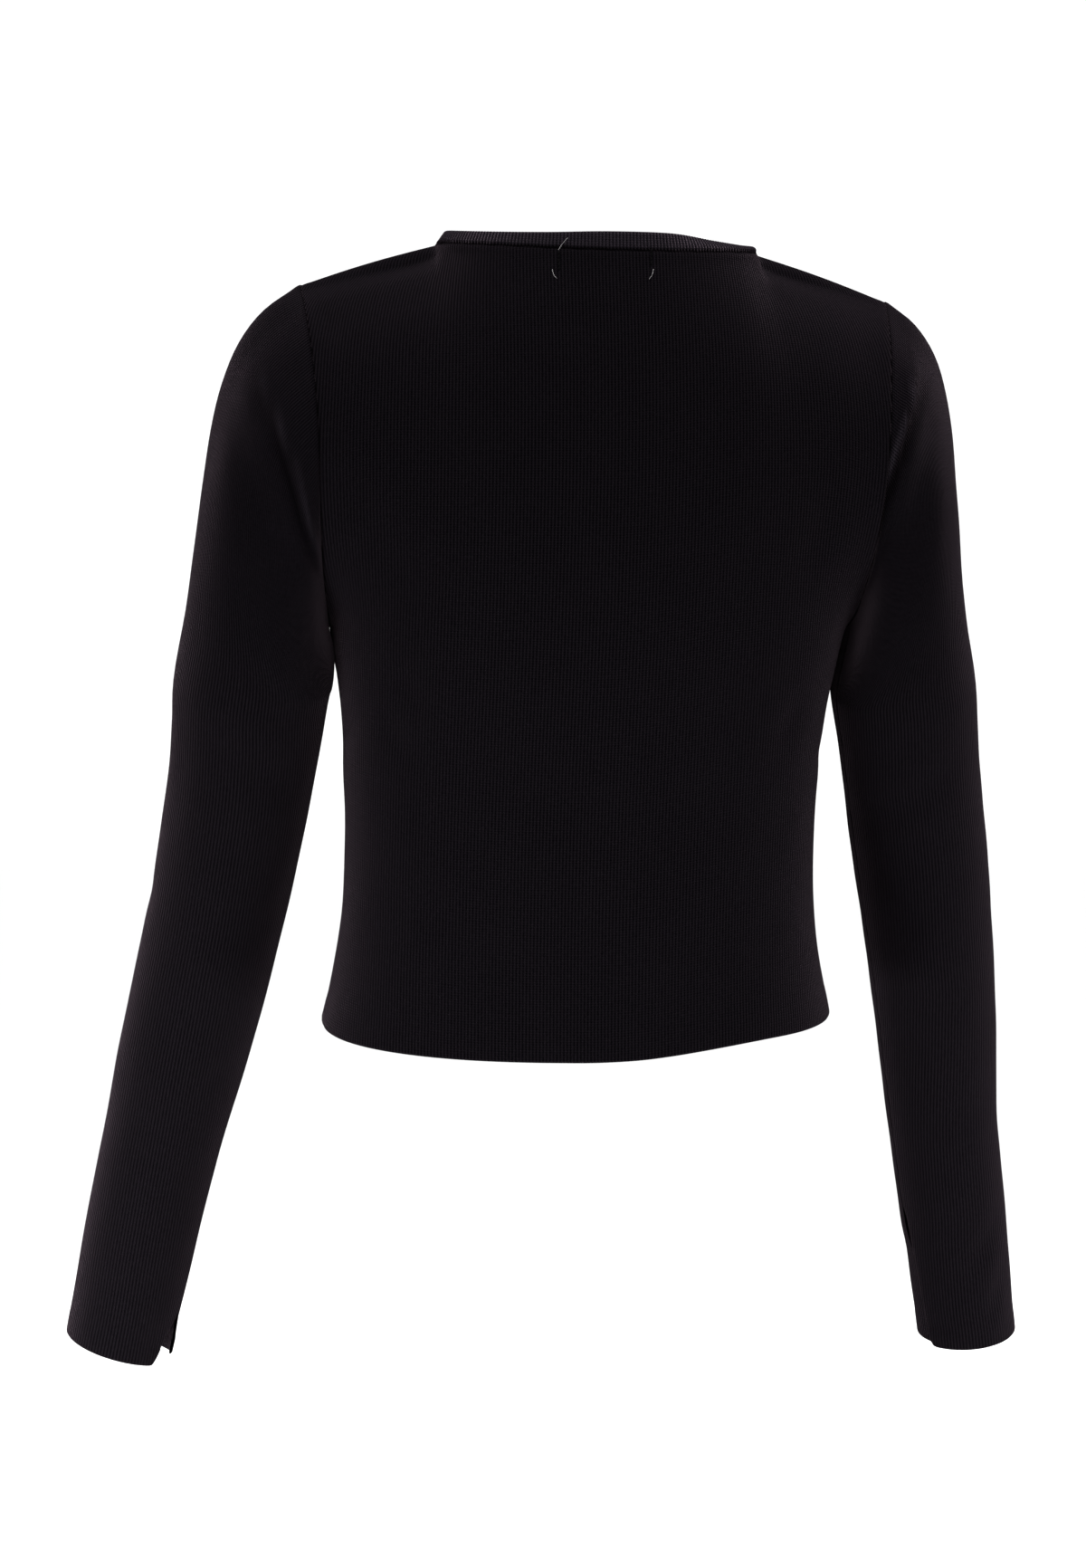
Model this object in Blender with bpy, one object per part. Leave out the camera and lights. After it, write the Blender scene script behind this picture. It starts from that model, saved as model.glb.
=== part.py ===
"""A cropped rib-knit cardigan with long sleeves, filled out as it hangs when it is worn.

x runs to the wearer's left, y to the back and z up, in metres. The origin is midway between the
neck points of the two shoulder seams, where the wearer's shoulders carry the garment.
Every panel is a thin wall: a grid of outer points, and the same points moved in by the cloth's thickness.
"""

import math

import bpy
import numpy as np

# Driving dimensions
WALL = 0.0016
SEAM_GAP = 0.00036
NECK_HALF_WIDTH = 0.091
NECK_POINT_Y = 0.004
SHOULDER_RISE = 0.0012
NECKBAND_SWELL = 0.00035
NECKBAND_GAP = 0.00042
BAND_HALF_WIDTH = 0.0090
BAND_OFFSET = 0.00105
BUTTON_COUNT = 7
BUTTON_RADIUS = 0.0056
BUTTON_THICKNESS = 0.0024
BUTTON_GAP = 0.0004
TOP_BUTTON_DROP = 0.014
LOW_BUTTON_RISE = 0.016
CUFF_SLIT_LENGTH = 0.048
TORSO_FULLNESS = 2.3
SIDE_LEAN = 0.0125
SHOULDER_TILT = 0.0165
HEM_LIFT = 0.0080

# How finely the walls are divided
ROWS_BELOW_ARM = 11
ROWS_BESIDE_ARM = 14
COLUMNS_TO_NECK = 5
COLUMNS_ACROSS_NECK = 8
CAP_RINGS = 8
ARM_RINGS = 18
SLIT_COLUMN = 13
NECKBAND_STEPS = 3
PANEL_RELAXING = 4


def table(columns, rows):
    """A table as arrays, one for each named column."""
    return dict(zip(columns.split(), np.array(rows, float).T))


# Levels run from 0 at the hem, through 1 at the underarm, to 2 at the shoulder seam and the neckline.
SIDE_SEAM = table(
    "level  half_width  y       z",
    [
        (0.00, 0.1458, -0.045, -0.437),
        (0.07, 0.1425, -0.044, -0.421),
        (0.18, 0.1382, -0.042, -0.397),
        (0.30, 0.1354, -0.040, -0.370),
        (0.42, 0.1346, -0.038, -0.343),
        (0.54, 0.1349, -0.035, -0.316),
        (0.65, 0.1363, -0.031, -0.291),
        (0.76, 0.1376, -0.027, -0.266),
        (0.87, 0.1410, -0.021, -0.241),
        (1.00, 0.1466, -0.012, -0.212),
    ],
)
CENTRE_LINES = table(
    "level  back_y   back_z   front_y  front_z",
    [
        (0.00, 0.0450, -0.4555, -0.1280, -0.4190),
        (0.18, 0.0430, -0.4130, -0.1245, -0.3810),
        (0.42, 0.0450, -0.3570, -0.1220, -0.3300),
        (0.65, 0.0520, -0.3035, -0.1270, -0.2820),
        (0.83, 0.0630, -0.2620, -0.1340, -0.2450),
        (1.00, 0.0735, -0.2240, -0.1365, -0.2110),
        (1.25, 0.0805, -0.1780, -0.1300, -0.1750),
        (1.50, 0.0850, -0.1270, -0.1160, -0.1410),
        (1.75, 0.0800, -0.0660, -0.0985, -0.1085),
        (2.00, 0.0625, -0.0068, -0.0790, -0.0765),
    ],
)
# The turn is how far round the body's side, in degrees, the armhole's edge has come.
ARMHOLE = table(
    "level  back_x  back_y  back_z  back_turn  front_x  front_y  front_z  front_turn",
    [
        (1.00, 0.1466, -0.0120, -0.2120, 0, 0.1466, -0.0120, -0.2120, 0),
        (1.12, 0.1492, 0.0080, -0.2060, 14, 0.1458, -0.0300, -0.2060, 14),
        (1.28, 0.1540, 0.0322, -0.1800, 31, 0.1448, -0.0470, -0.1800, 32),
        (1.45, 0.1572, 0.0498, -0.1470, 42, 0.1450, -0.0560, -0.1480, 42),
        (1.62, 0.1590, 0.0568, -0.1120, 49, 0.1480, -0.0540, -0.1130, 46),
        (1.78, 0.1612, 0.0480, -0.0780, 50, 0.1540, -0.0430, -0.0790, 46),
        (1.90, 0.1640, 0.0280, -0.0470, 50, 0.1605, -0.0250, -0.0480, 46),
        (2.00, 0.1665, 0.0000, -0.0243, 50, 0.1665, 0.0000, -0.0243, 46),
    ],
)
# The middle of each arm from the underarm to the cuff, with the sleeve's half width and half depth there.
LEFT_ARM = table(
    "z       x       y        half_width  half_depth",
    [
        (-0.247, 0.1930, -0.0150, 0.0440, 0.0430),
        (-0.293, 0.1970, -0.0350, 0.0412, 0.0420),
        (-0.345, 0.2048, -0.0580, 0.0400, 0.0410),
        (-0.398, 0.2147, -0.0800, 0.0389, 0.0390),
        (-0.452, 0.2267, -0.1000, 0.0372, 0.0365),
        (-0.506, 0.2388, -0.1170, 0.0344, 0.0340),
        (-0.561, 0.2501, -0.1320, 0.0330, 0.0320),
        (-0.615, 0.2609, -0.1450, 0.0314, 0.0310),
        (-0.633, 0.2644, -0.1490, 0.0310, 0.0310),
    ],
)
RIGHT_ARM = table(
    "z       x       y        half_width  half_depth",
    [
        (-0.247, 0.1794, -0.0150, 0.0415, 0.0440),
        (-0.293, 0.1880, -0.0350, 0.0397, 0.0430),
        (-0.345, 0.1983, -0.0580, 0.0391, 0.0415),
        (-0.398, 0.2086, -0.0800, 0.0371, 0.0400),
        (-0.452, 0.2168, -0.1000, 0.0349, 0.0375),
        (-0.506, 0.2243, -0.1170, 0.0322, 0.0350),
        (-0.561, 0.2337, -0.1320, 0.0314, 0.0330),
        (-0.615, 0.2421, -0.1450, 0.0298, 0.0320),
        (-0.631, 0.2447, -0.1490, 0.0295, 0.0320),
    ],
)

# The neckband from its left end (0) by the left neck point (1), the centre back (2) and the right neck
# point (3) to its right end (4): how steeply it stands, in degrees, and how wide it is.
NECKBAND = table(
    "place  stand  height",
    [
        (0.0, 58, 0.0098),
        (0.6, 60, 0.0095),
        (1.0, 78, 0.0075),
        (1.5, 70, 0.0070),
        (1.7, 78, 0.0080),
        (2.0, 82, 0.0085),
        (2.3, 65, 0.0090),
        (2.5, 44, 0.0091),
        (3.0, 5, 0.0084),
        (3.4, 45, 0.0096),
        (4.0, 58, 0.0098),
    ],
)
# The soft ridge down the back of each sleeve from its cap to the armhole seam, with a trough outside it.
LEFT_FOLD = table(
    "z       x       height  width",
    [
        (-0.060, 0.1950, 0.0000, 0.011),
        (-0.090, 0.1884, 0.0022, 0.011),
        (-0.112, 0.1818, 0.0032, 0.011),
        (-0.140, 0.1757, 0.0036, 0.010),
        (-0.162, 0.1693, 0.0032, 0.009),
        (-0.192, 0.1592, 0.0016, 0.009),
        (-0.225, 0.1530, 0.0000, 0.009),
    ],
)
RIGHT_FOLD = table(
    "z       x       height  width",
    [
        (-0.055, 0.1800, 0.0000, 0.011),
        (-0.082, 0.1727, 0.0020, 0.011),
        (-0.100, 0.1680, 0.0028, 0.011),
        (-0.118, 0.1640, 0.0032, 0.010),
        (-0.141, 0.1600, 0.0026, 0.009),
        (-0.170, 0.1540, 0.0012, 0.009),
        (-0.200, 0.1500, 0.0000, 0.009),
    ],
)
# For the left sleeve (1) and the right (-1): how far the cap swells at the shoulder, how far it is tucked
# in below it, and how far the underarm is pressed against the body. The cap leans
# in toward the arm's middle, and more so at the back.
CAP_SWELL = {1: 0.058, -1: 0.048}
CAP_TUCK = {1: 0.0110, -1: 0.0095}
UNDERARM_PRESS = {1: 0.0036, -1: 0.0}
CAP_LEAN = 0.12
BACK_CAP_LEAN = 0.20
# How much shorter each cuff is at its outer side and at its inner side.
OUTER_CUFF_RISE = {1: 0.0050, -1: 0.0}
INNER_CUFF_RISE = {1: 0.0, -1: 0.0025}


def smooth(keys, values, at):
    """A smooth curve through the values, read at other keys."""
    keys = np.asarray(keys, float)
    values = np.asarray(values, float).reshape(len(keys), -1)
    at = np.atleast_1d(np.asarray(at, float))
    slope = np.gradient(values, keys, axis=0)
    i = np.clip(np.searchsorted(keys, at, side="right") - 1, 0, len(keys) - 2)
    span = (keys[i + 1] - keys[i])[:, None]
    u = ((at - keys[i])[:, None] / span)
    start = (2 * u**3 - 3 * u**2 + 1) * values[i] + (u**3 - 2 * u**2 + u) * span * slope[i]
    end = (3 * u**2 - 2 * u**3) * values[i + 1] + (u**3 - u**2) * span * slope[i + 1]
    return start + end


def read(source, names, at):
    """The named columns of a table, read smoothly at values of its first column."""
    keys = list(source.values())[0]
    order = np.argsort(keys)
    columns = np.stack([source[name] for name in names.split()], axis=1)
    return smooth(keys[order], columns[order], at)


def unit(vectors):
    """The vectors at length one."""
    return vectors / np.maximum(np.linalg.norm(vectors, axis=-1, keepdims=True), 1e-12)


def ease(x):
    """A smooth step from 0 to 1."""
    x = np.clip(x, 0, 1)
    return x * x * (3 - 2 * x)


def arc_shape(s, turn):
    """Shares of the way in and the way back for a round body's section, from its edge to its centre."""
    angle = math.radians(turn) + s * (math.pi / 2 - math.radians(turn))
    power = 2 / TORSO_FULLNESS
    across = np.abs(np.cos(angle)) ** power / math.cos(math.radians(turn)) ** power
    start = math.sin(math.radians(turn)) ** power
    out = (np.abs(np.sin(angle)) ** power - start) / (1 - start)
    return np.stack([across, out, out], axis=1)


def relax(grid, times):
    """The grid with its inner points drawn toward their neighbours, its edges kept."""
    soft = grid.copy()
    for _ in range(times):
        mean = (soft[:-2, 1:-1] + soft[2:, 1:-1] + soft[1:-1, :-2] + soft[1:-1, 2:]) / 4
        soft[1:-1, 1:-1] += (mean - soft[1:-1, 1:-1]) / 2
    return soft


def top_shape(s, edge, middle):
    """The same shares for the top of a panel: the shoulder seam, then the neckline."""
    neck = COLUMNS_TO_NECK / (COLUMNS_TO_NECK + COLUMNS_ACROSS_NECK)
    shoulder = np.clip(s / neck, 0, 1)
    round_neck = np.clip((s - neck) / (1 - neck), 0, 1) * math.pi / 2
    is_neck = s > neck
    seam_x = edge[0] + (NECK_HALF_WIDTH - edge[0]) * shoulder
    seam_y = edge[1] + (NECK_POINT_Y - edge[1]) * shoulder
    seam_z = edge[2] * (1 - shoulder) + SHOULDER_RISE * np.sin(math.pi * shoulder)
    neck_x = NECK_HALF_WIDTH * np.cos(round_neck)
    neck_y = NECK_POINT_Y + (middle[1] - NECK_POINT_Y) * np.sin(round_neck)
    neck_z = middle[2] * np.sin(round_neck) ** 1.5
    x = np.where(is_neck, neck_x, seam_x)
    y = np.where(is_neck, neck_y, seam_y)
    z = np.where(is_neck, neck_z, seam_z)
    return np.stack(
        [x / edge[0], (y - edge[1]) / (middle[1] - edge[1]), (z - edge[2]) / (middle[2] - edge[2])],
        axis=1,
    )


def half_row(level, side, s):
    """Points of one level of the back or front, from its edge at s = 0 to the centre line at s = 1."""
    middle = np.array([0.0, *read(CENTRE_LINES, f"{side}_y {side}_z", level)[0]])
    if level <= 1:
        x, y, z = read(SIDE_SEAM, "half_width y z", level)[0]
        edge, turn, top_share = np.array([x, y, z]), 0.0, 0.0
    else:
        columns = f"{side}_x {side}_y {side}_z {side}_turn"
        x, y, z, turn = read(ARMHOLE, columns, level)[0]
        edge, top_share = np.array([x, y, z]), (level - 1) ** 2.5
    top_edge = read(ARMHOLE, f"{side}_x {side}_y {side}_z", 2)[0]
    top_middle = np.array([0.0, *read(CENTRE_LINES, f"{side}_y {side}_z", 2)[0]])
    shape = arc_shape(s, turn) * (1 - top_share) + top_shape(s, top_edge, top_middle) * top_share
    way_in = np.array([1 - shape[:, 0], shape[:, 1], shape[:, 2]]).T
    return edge + (middle - edge) * way_in


def column_shares(level, side, cut):
    """Where the columns of a row lie between its edge and the centre line, ending at x = cut."""
    neck = COLUMNS_TO_NECK / (COLUMNS_TO_NECK + COLUMNS_ACROSS_NECK)
    dense = np.linspace(0, 1, 400)
    last = np.interp(-cut, -half_row(level, side, dense)[:, 0], dense)
    to_neck = np.linspace(0, neck, COLUMNS_TO_NECK + 1)
    return np.concatenate([to_neck, np.linspace(neck, last, COLUMNS_ACROSS_NECK + 1)[1:]])


def pose(points):
    """Leans the body a little to its left and tilts its shoulders, as the garment hangs."""
    points = np.array(points, float)
    shoulder = ease((points[..., 2] + 0.20) / 0.20)
    low = ease((-0.28 - points[..., 2]) / 0.14)
    right = ease(-points[..., 0] / 0.11)
    points[..., 0] -= SIDE_LEAN * points[..., 2]
    points[..., 2] += SHOULDER_TILT * points[..., 0] * shoulder + HEM_LIFT * low * right
    return points


def levels():
    """The levels of the body's rows, from the hem to the top."""
    low = np.linspace(0, 1, ROWS_BELOW_ARM + 1)
    return np.concatenate([low, np.linspace(1, 2, ROWS_BESIDE_ARM + 1)[1:]])


def half_panel(side, mirror, cut=0.0):
    """A grid of points from the side seam and armhole to x = cut, for one half of the back or front."""
    rows = [half_row(level, side, column_shares(level, side, cut)) for level in levels()]
    return np.array(rows) * np.array([mirror, 1, 1])


def grid_normals(grid, closed=False):
    """The outward or inward normal at each grid point, on one consistent side."""
    along = np.gradient(grid, axis=0)
    if closed:
        across = (np.roll(grid, -1, axis=1) - np.roll(grid, 1, axis=1)) / 2
    else:
        across = np.gradient(grid, axis=1)
    return unit(np.cross(along, across))


def facing(normals, wanted):
    """The normals, all turned over if they mostly point away from the wanted direction."""
    return normals if (normals * wanted).sum() > 0 else -normals


def pull_in(grid, amount, first_column=(), last_column=(), last_row=()):
    """Draws chosen edges of a grid back from their seam, along the cloth."""
    moved = grid.copy()
    for rows, edge, inner in ((first_column, 0, 1), (last_column, -1, -2)):
        for r in rows:
            moved[r, edge] += unit(grid[r, inner] - grid[r, edge]) * amount
    for c in last_row:
        moved[-1, c] += unit(grid[-2, c] - grid[-1, c]) * amount
    return moved


def make_object(name, points, faces, material):
    """One closed mesh object."""
    mesh = bpy.data.meshes.new(name)
    mesh.from_pydata([tuple(map(float, p)) for p in points], [], faces)
    mesh.validate()
    mesh.shade_smooth()
    mesh.set_sharp_from_angle(angle=math.radians(50))
    mesh.materials.append(material)
    made = bpy.data.objects.new(name, mesh)
    bpy.context.scene.collection.objects.link(made)
    return made


def wall(name, outer, inner, faces, outward, material):
    """A closed wall between two layers of points that share the same faces."""
    a, b, c = (outer[[face[k] for face in faces]] for k in range(3))
    if (np.cross(b - a, c - a) * outward[[face[0] for face in faces]]).sum() < 0:
        faces = [face[::-1] for face in faces]
    count = len(outer)
    edges = {(face[k], face[(k + 1) % len(face)]) for face in faces for k in range(len(face))}
    rim = [(b, a, a + count, b + count) for a, b in sorted(edges) if (b, a) not in edges]
    inside = [tuple(index + count for index in face[::-1]) for face in faces]
    return make_object(name, np.concatenate([outer, inner]), faces + inside + rim, material)


def grid_faces(rows, columns):
    """The quads of an open grid."""
    return [
        (r * columns + c, r * columns + c + 1, (r + 1) * columns + c + 1, (r + 1) * columns + c)
        for r in range(rows - 1)
        for c in range(columns - 1)
    ]


def grid_wall(name, grid, normals, material, lift=0.0):
    """A wall whose outer points are a grid moved out by the lift, and whose inside lies one wall in."""
    rows, columns = grid.shape[:2]
    outer = (grid + normals * lift).reshape(-1, 3)
    inner = (grid + normals * (lift - WALL)).reshape(-1, 3)
    return wall(name, outer, inner, grid_faces(rows, columns), normals.reshape(-1, 3), material)


def share_normals(first, second):
    """The mean of two edges' normals, for both, so that their walls end face to face."""
    mean = unit(first + second)
    return mean.copy(), mean.copy()


def body_panels():
    """The posed grids and normals of the back and the two fronts."""
    left_back, right_back = half_panel("back", 1), half_panel("back", -1)
    back = np.concatenate([left_back, right_back[:, -2::-1]], axis=1)
    grids = {
        "back": pose(relax(back, PANEL_RELAXING)),
        "front_left": pose(relax(half_panel("front", 1, BAND_HALF_WIDTH + SEAM_GAP), PANEL_RELAXING)),
        "front_right": pose(relax(half_panel("front", -1, BAND_HALF_WIDTH + SEAM_GAP), PANEL_RELAXING)),
    }
    centre = np.array([0.0, -0.03, -0.2])
    normals = {
        name: facing(grid_normals(grid), (grid - centre) * np.array([1, 1, 0]))
        for name, grid in grids.items()
    }
    low = slice(0, ROWS_BELOW_ARM + 1)
    last = grids["back"].shape[1] - 1
    for name, edge in (("front_left", 0), ("front_right", last)):
        side_back, side_front = share_normals(normals["back"][low, edge], normals[name][low, 0])
        normals["back"][low, edge], normals[name][low, 0] = side_back, side_front
        for c in range(COLUMNS_TO_NECK + 1):
            place = abs(edge - c)
            top_back, top_front = share_normals(normals["back"][-1, place], normals[name][-1, c])
            normals["back"][-1, place], normals[name][-1, c] = top_back, top_front
    for name, offset in (("front_left", -BAND_OFFSET), ("front_right", BAND_OFFSET)):
        for column, share in ((-1, 1.0), (-2, 0.45), (-3, 0.1)):
            grids[name][:, column] += normals[name][:, column] * offset * share
    return grids, normals


def neck_edge(grids, normals):
    """The whole neckline from the left front to the right front: straight between the panels' points, then
    smooth, with its normals and places."""
    neck, end = COLUMNS_TO_NECK, COLUMNS_TO_NECK + COLUMNS_ACROSS_NECK
    last = grids["back"].shape[1] - 1
    runs = [
        ("front_left", range(end, neck, -1), np.linspace(0, 1, COLUMNS_ACROSS_NECK + 1)[:-1]),
        ("back", range(neck, last - neck + 1), np.linspace(1, 3, 2 * COLUMNS_ACROSS_NECK + 1)),
        ("front_right", range(neck + 1, end + 1), np.linspace(3, 4, COLUMNS_ACROSS_NECK + 1)[1:]),
    ]
    points = np.array([grids[name][-1, c] for name, columns, _ in runs for c in columns])
    directions = np.array([normals[name][-1, c] for name, columns, _ in runs for c in columns])
    places = np.concatenate([where for _, _, where in runs])
    index = np.arange(len(points))
    fine = np.linspace(0, index[-1], index[-1] * NECKBAND_STEPS + 1)
    straight = np.stack([np.interp(fine, index, points[:, axis]) for axis in range(3)], axis=1)
    curved = smooth(index, points, fine)
    return straight, curved, unit(smooth(index, directions, fine)), np.interp(fine, index, places)


def neckband_sections(grids, normals):
    """Middle-layer points of the neckband and their outward directions, a row for each place round it."""
    base, edge, out, places = neck_edge(grids, normals)
    along = unit(np.gradient(edge, axis=0))
    along[[0, -1]] = np.array([1.0, 0.0, 0.0])
    leave = unit(np.cross(out, along))
    level = np.array([0.0, 0.0, 1.0])
    up = unit(level - along * (along @ level)[:, None])
    inward = np.cross(up, along)
    stand, height = read(NECKBAND, "stand height", places).T
    stand = np.radians(stand)[:, None]
    lean = np.cos(stand) * inward + np.sin(stand) * up
    sections = [base + leave * NECKBAND_GAP]
    reached = edge + leave * NECKBAND_GAP
    directions = [unit(np.cross(along, leave))]
    shares = np.array([0.0, 0.3, 0.65, 1.0])
    for before, after in zip(shares[:-1], shares[1:]):
        turned = ease((before + after) / 2 / 0.5)
        way = unit(leave * (1 - turned) + lean * turned)
        reached = reached + way * (after - before) * height[:, None]
        sections.append(reached)
        directions.append(unit(np.cross(along, way)))
    return np.stack(sections, axis=1), np.stack(directions, axis=1)


def neckband(sections, directions, material):
    """The standing band round the neck, a little thicker than the cloth, with a soft top edge."""
    swell = np.array([0.6, 1.0, 1.0, 0.1])[None, :, None] * NECKBAND_SWELL
    outer = (sections + directions * swell).reshape(-1, 3)
    taken = np.array([0.6, 1.0, 1.0, -1.2])[None, :, None] * NECKBAND_SWELL
    inner = (sections - directions * (WALL + taken)).reshape(-1, 3)
    rows, columns = sections.shape[:2]
    wall("neckband", outer, inner, grid_faces(rows, columns), directions.reshape(-1, 3), material)


def front_line(grids, normals, sections, directions):
    """The centre line of the front opening, from hem to neckband top, and its outward directions."""
    left, right = grids["front_left"][:, -1], grids["front_right"][:, -1]
    line = (left + right) / 2
    out = unit(normals["front_left"][:, -1] + normals["front_right"][:, -1])
    line = np.concatenate([line, (sections[0, 1:] + sections[-1, 1:]) / 2])
    out = np.concatenate([out, unit(directions[0, 1:] + directions[-1, 1:])])
    out[:, 0] = 0
    return line, unit(out)


def front_band(name, line, out, offset, material):
    """One of the two front bands, lying along the opening, one over the other."""
    across = np.array([1.0, 0.35, -0.35, -1.0]) * BAND_HALF_WIDTH
    grid = line[:, None] + across[None, :, None] * np.array([1.0, 0.0, 0.0])
    directions = np.repeat(out[:, None], len(across), axis=1)
    grid_wall(name, grid, directions, material, offset)


def button(name, centre, out, material):
    """A round dished button, lying on the outer band."""
    foot, rim = [(0.0, 0.0), (0.86, 0.0), (1.0, 0.30)], [(1.0, 0.62), (0.88, 1.0), (0.66, 0.90)]
    profile = [*foot, *rim, (0.50, 0.62), (0.0, 0.58)]
    side = np.array([1.0, 0.0, 0.0])
    up = unit(np.cross(out, side))
    count = 16
    points, faces = [centre], []
    for radius, rise in profile[1:-1]:
        for k in range(count):
            turn = 2 * math.pi * k / count
            spoke = side * math.cos(turn) + up * math.sin(turn)
            points.append(centre + spoke * radius * BUTTON_RADIUS + out * rise * BUTTON_THICKNESS)
    points.append(centre + out * profile[-1][1] * BUTTON_THICKNESS)
    rings = len(profile) - 2
    for k in range(count):
        nearby = (k + 1) % count
        faces.append((0, 1 + nearby, 1 + k))
        for r in range(rings - 1):
            a, b = 1 + r * count, 1 + (r + 1) * count
            faces.append((a + k, a + nearby, b + nearby, b + k))
        top = 1 + (rings - 1) * count
        faces.append((top + k, top + nearby, len(points) - 1))
    make_object(name, points, faces, material)


def fold(points, normals, path, mirror):
    """Raises a soft ridge along a path down the back of a sleeve, and sinks a trough beside it."""
    order = np.argsort(path["z"])
    keys = path["z"][order]
    columns = [path[name][order] for name in ("x", "height", "width")]
    x, height, width = (np.interp(points[..., 2], keys, column) for column in columns)
    off = (points[..., 0] * mirror - x) / width
    behind = ease((normals[..., 1] - 0.1) / 0.5)
    raised = np.exp(-(off**2)) - 0.55 * np.exp(-((off - 1.9) ** 2))
    return points + normals * (raised * height * behind)[..., None]


def armhole_loop(grids, normals, name, edge):
    """The armhole's points and the body's normals there: down the back, then up the front."""
    beside = range(ROWS_BELOW_ARM, ROWS_BELOW_ARM + ROWS_BESIDE_ARM + 1)
    back = [(grids["back"][r, edge], normals["back"][r, edge]) for r in reversed(beside)]
    front = [(grids[name][r, 0], normals[name][r, 0]) for r in beside]
    loop = back + front[1:-1]
    return np.array([p for p, _ in loop]), np.array([n for _, n in loop])


def arm_frames(arm, mirror, heights):
    """Centres, arm directions, outward directions, backward directions and sizes of the sleeve's rings."""
    order = np.argsort(arm["z"])
    x, y, half_width, half_depth = read(arm, "x y half_width half_depth", heights).T
    centres = np.stack([mirror * x, y, heights], axis=1)
    step = 1e-4
    ahead = read({key: arm[key][order] for key in arm}, "x y", heights - step)
    behind = read({key: arm[key][order] for key in arm}, "x y", heights + step)
    slope = (ahead - behind) / (2 * step)
    down = unit(np.stack([mirror * slope[:, 0], slope[:, 1], -np.ones(len(heights))], axis=1))
    sideways = np.array([mirror, 0.0, 0.0])
    out = unit(sideways - down * (down @ sideways)[:, None])
    back = np.cross(out, down) * mirror
    return centres, down, out, back * np.sign(back[:, 1:2]), half_width, half_depth


def sleeve_grid(loop, arm, mirror):
    """The sleeve's rings: the cap from the armhole to the upper arm, then down the arm to the cuff."""
    count = len(loop)
    around = 2 * math.pi * np.arange(count) / count
    heights = np.linspace(arm["z"].max(), arm["z"].min(), ARM_RINGS + 1)
    centres, down, out, back, half_width, half_depth = arm_frames(arm, mirror, heights)
    tube = (
        centres[:, None]
        + (half_width[:, None] * np.cos(around))[..., None] * out[:, None]
        + (half_depth[:, None] * np.sin(around))[..., None] * back[:, None]
    )
    top_share = ((1 + np.cos(around)) / 2)[:, None]
    rise = OUTER_CUFF_RISE[mirror] * top_share + INNER_CUFF_RISE[mirror] * (1 - top_share)
    near_cuff = ease((np.arange(ARM_RINGS + 1) / ARM_RINGS - 0.75) / 0.25)
    tube -= near_cuff[:, None, None] * rise[None] * down[:, None]
    fall = np.radians(28 + 60 * (1 - top_share[:, 0]))
    lean = (CAP_LEAN + BACK_CAP_LEAN * np.maximum(np.sin(around), 0)) * np.sin(around)
    leave = unit(np.stack([mirror * np.cos(fall), -lean, -np.sin(fall)], axis=1))
    press = np.array([mirror, 0, 0]) * UNDERARM_PRESS[mirror] * (1 - top_share) ** 3
    first_handle = loop + leave * (0.012 + CAP_SWELL[mirror] * top_share**0.8)
    above = down[0] * (0.014 + 0.106 * top_share)
    last_handle = tube[0] - above - out[0] * CAP_TUCK[mirror] * top_share - press
    rings = []
    for t in np.linspace(0, 1, CAP_RINGS + 1)[:-1]:
        rings.append(
            (1 - t) ** 3 * loop
            + 3 * t * (1 - t) ** 2 * first_handle
            + 3 * t**2 * (1 - t) * last_handle
            + t**3 * tube[0]
        )
    return np.concatenate([np.array(rings), tube])


def outward_of_tube(grid):
    """The normals of a closed tube, pointing out of it."""
    middle = grid.mean(axis=1, keepdims=True)
    return facing(grid_normals(grid, closed=True), grid - middle)


def sleeve(name, loop, body_normals, arm, path, mirror, material):
    """A sleeve sewn to its armhole, with a slit at the inner side of the cuff."""
    grid = sleeve_grid(loop, arm, mirror)
    grid[1:] = fold(grid, outward_of_tube(grid), path, mirror)[1:]
    grid[0] += np.array([mirror * SEAM_GAP, 0, 0])
    normals = outward_of_tube(grid)
    convex = ((normals[0] - body_normals) @ np.array([mirror, 0, 0])) > 0
    normals[0, convex] = unit(normals[0, convex] + body_normals[convex])
    rows, count = grid.shape[:2]
    grid, normals = (np.roll(a, -SLIT_COLUMN, axis=1) for a in (grid, normals))
    lengths = np.linalg.norm(np.diff(grid[:, 0], axis=0), axis=1)[::-1].cumsum()[::-1]
    slit_rows = [r for r in range(1, rows) if r == rows - 1 or lengths[r] < CUFF_SLIT_LENGTH]
    points, directions = list(grid.reshape(-1, 3)), list(normals.reshape(-1, 3))
    second = {}
    for r in slit_rows:
        share = (r - slit_rows[0] + 1) / len(slit_rows)
        across = unit(grid[r, 1] - grid[r, -1])
        opening = 0.0006 + 0.0030 * share
        second[r] = len(points)
        points.append(grid[r, 0] - across * opening)
        directions.append(normals[r, 0])
        points[r * count] = grid[r, 0] + across * opening
    faces = []
    for r in range(rows - 1):
        for c in range(count):
            near, far = r * count + (c + 1) % count, (r + 1) * count + (c + 1) % count
            if c == count - 1:
                near, far = second.get(r, near), second.get(r + 1, far)
            faces.append((r * count + c, near, far, (r + 1) * count + c))
    points, directions = np.array(points), np.array(directions)
    return wall(name, points, points - directions * WALL, faces, directions, material)


def knit_material():
    """Fine black rib knit."""
    made = bpy.data.materials.new("black_knit")
    made.use_nodes = True
    shader = made.node_tree.nodes["Principled BSDF"]
    shader.inputs["Base Color"].default_value = (0.006, 0.005, 0.006, 1)
    shader.inputs["Roughness"].default_value = 0.95
    shader.inputs["Metallic"].default_value = 0.0
    return made


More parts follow.
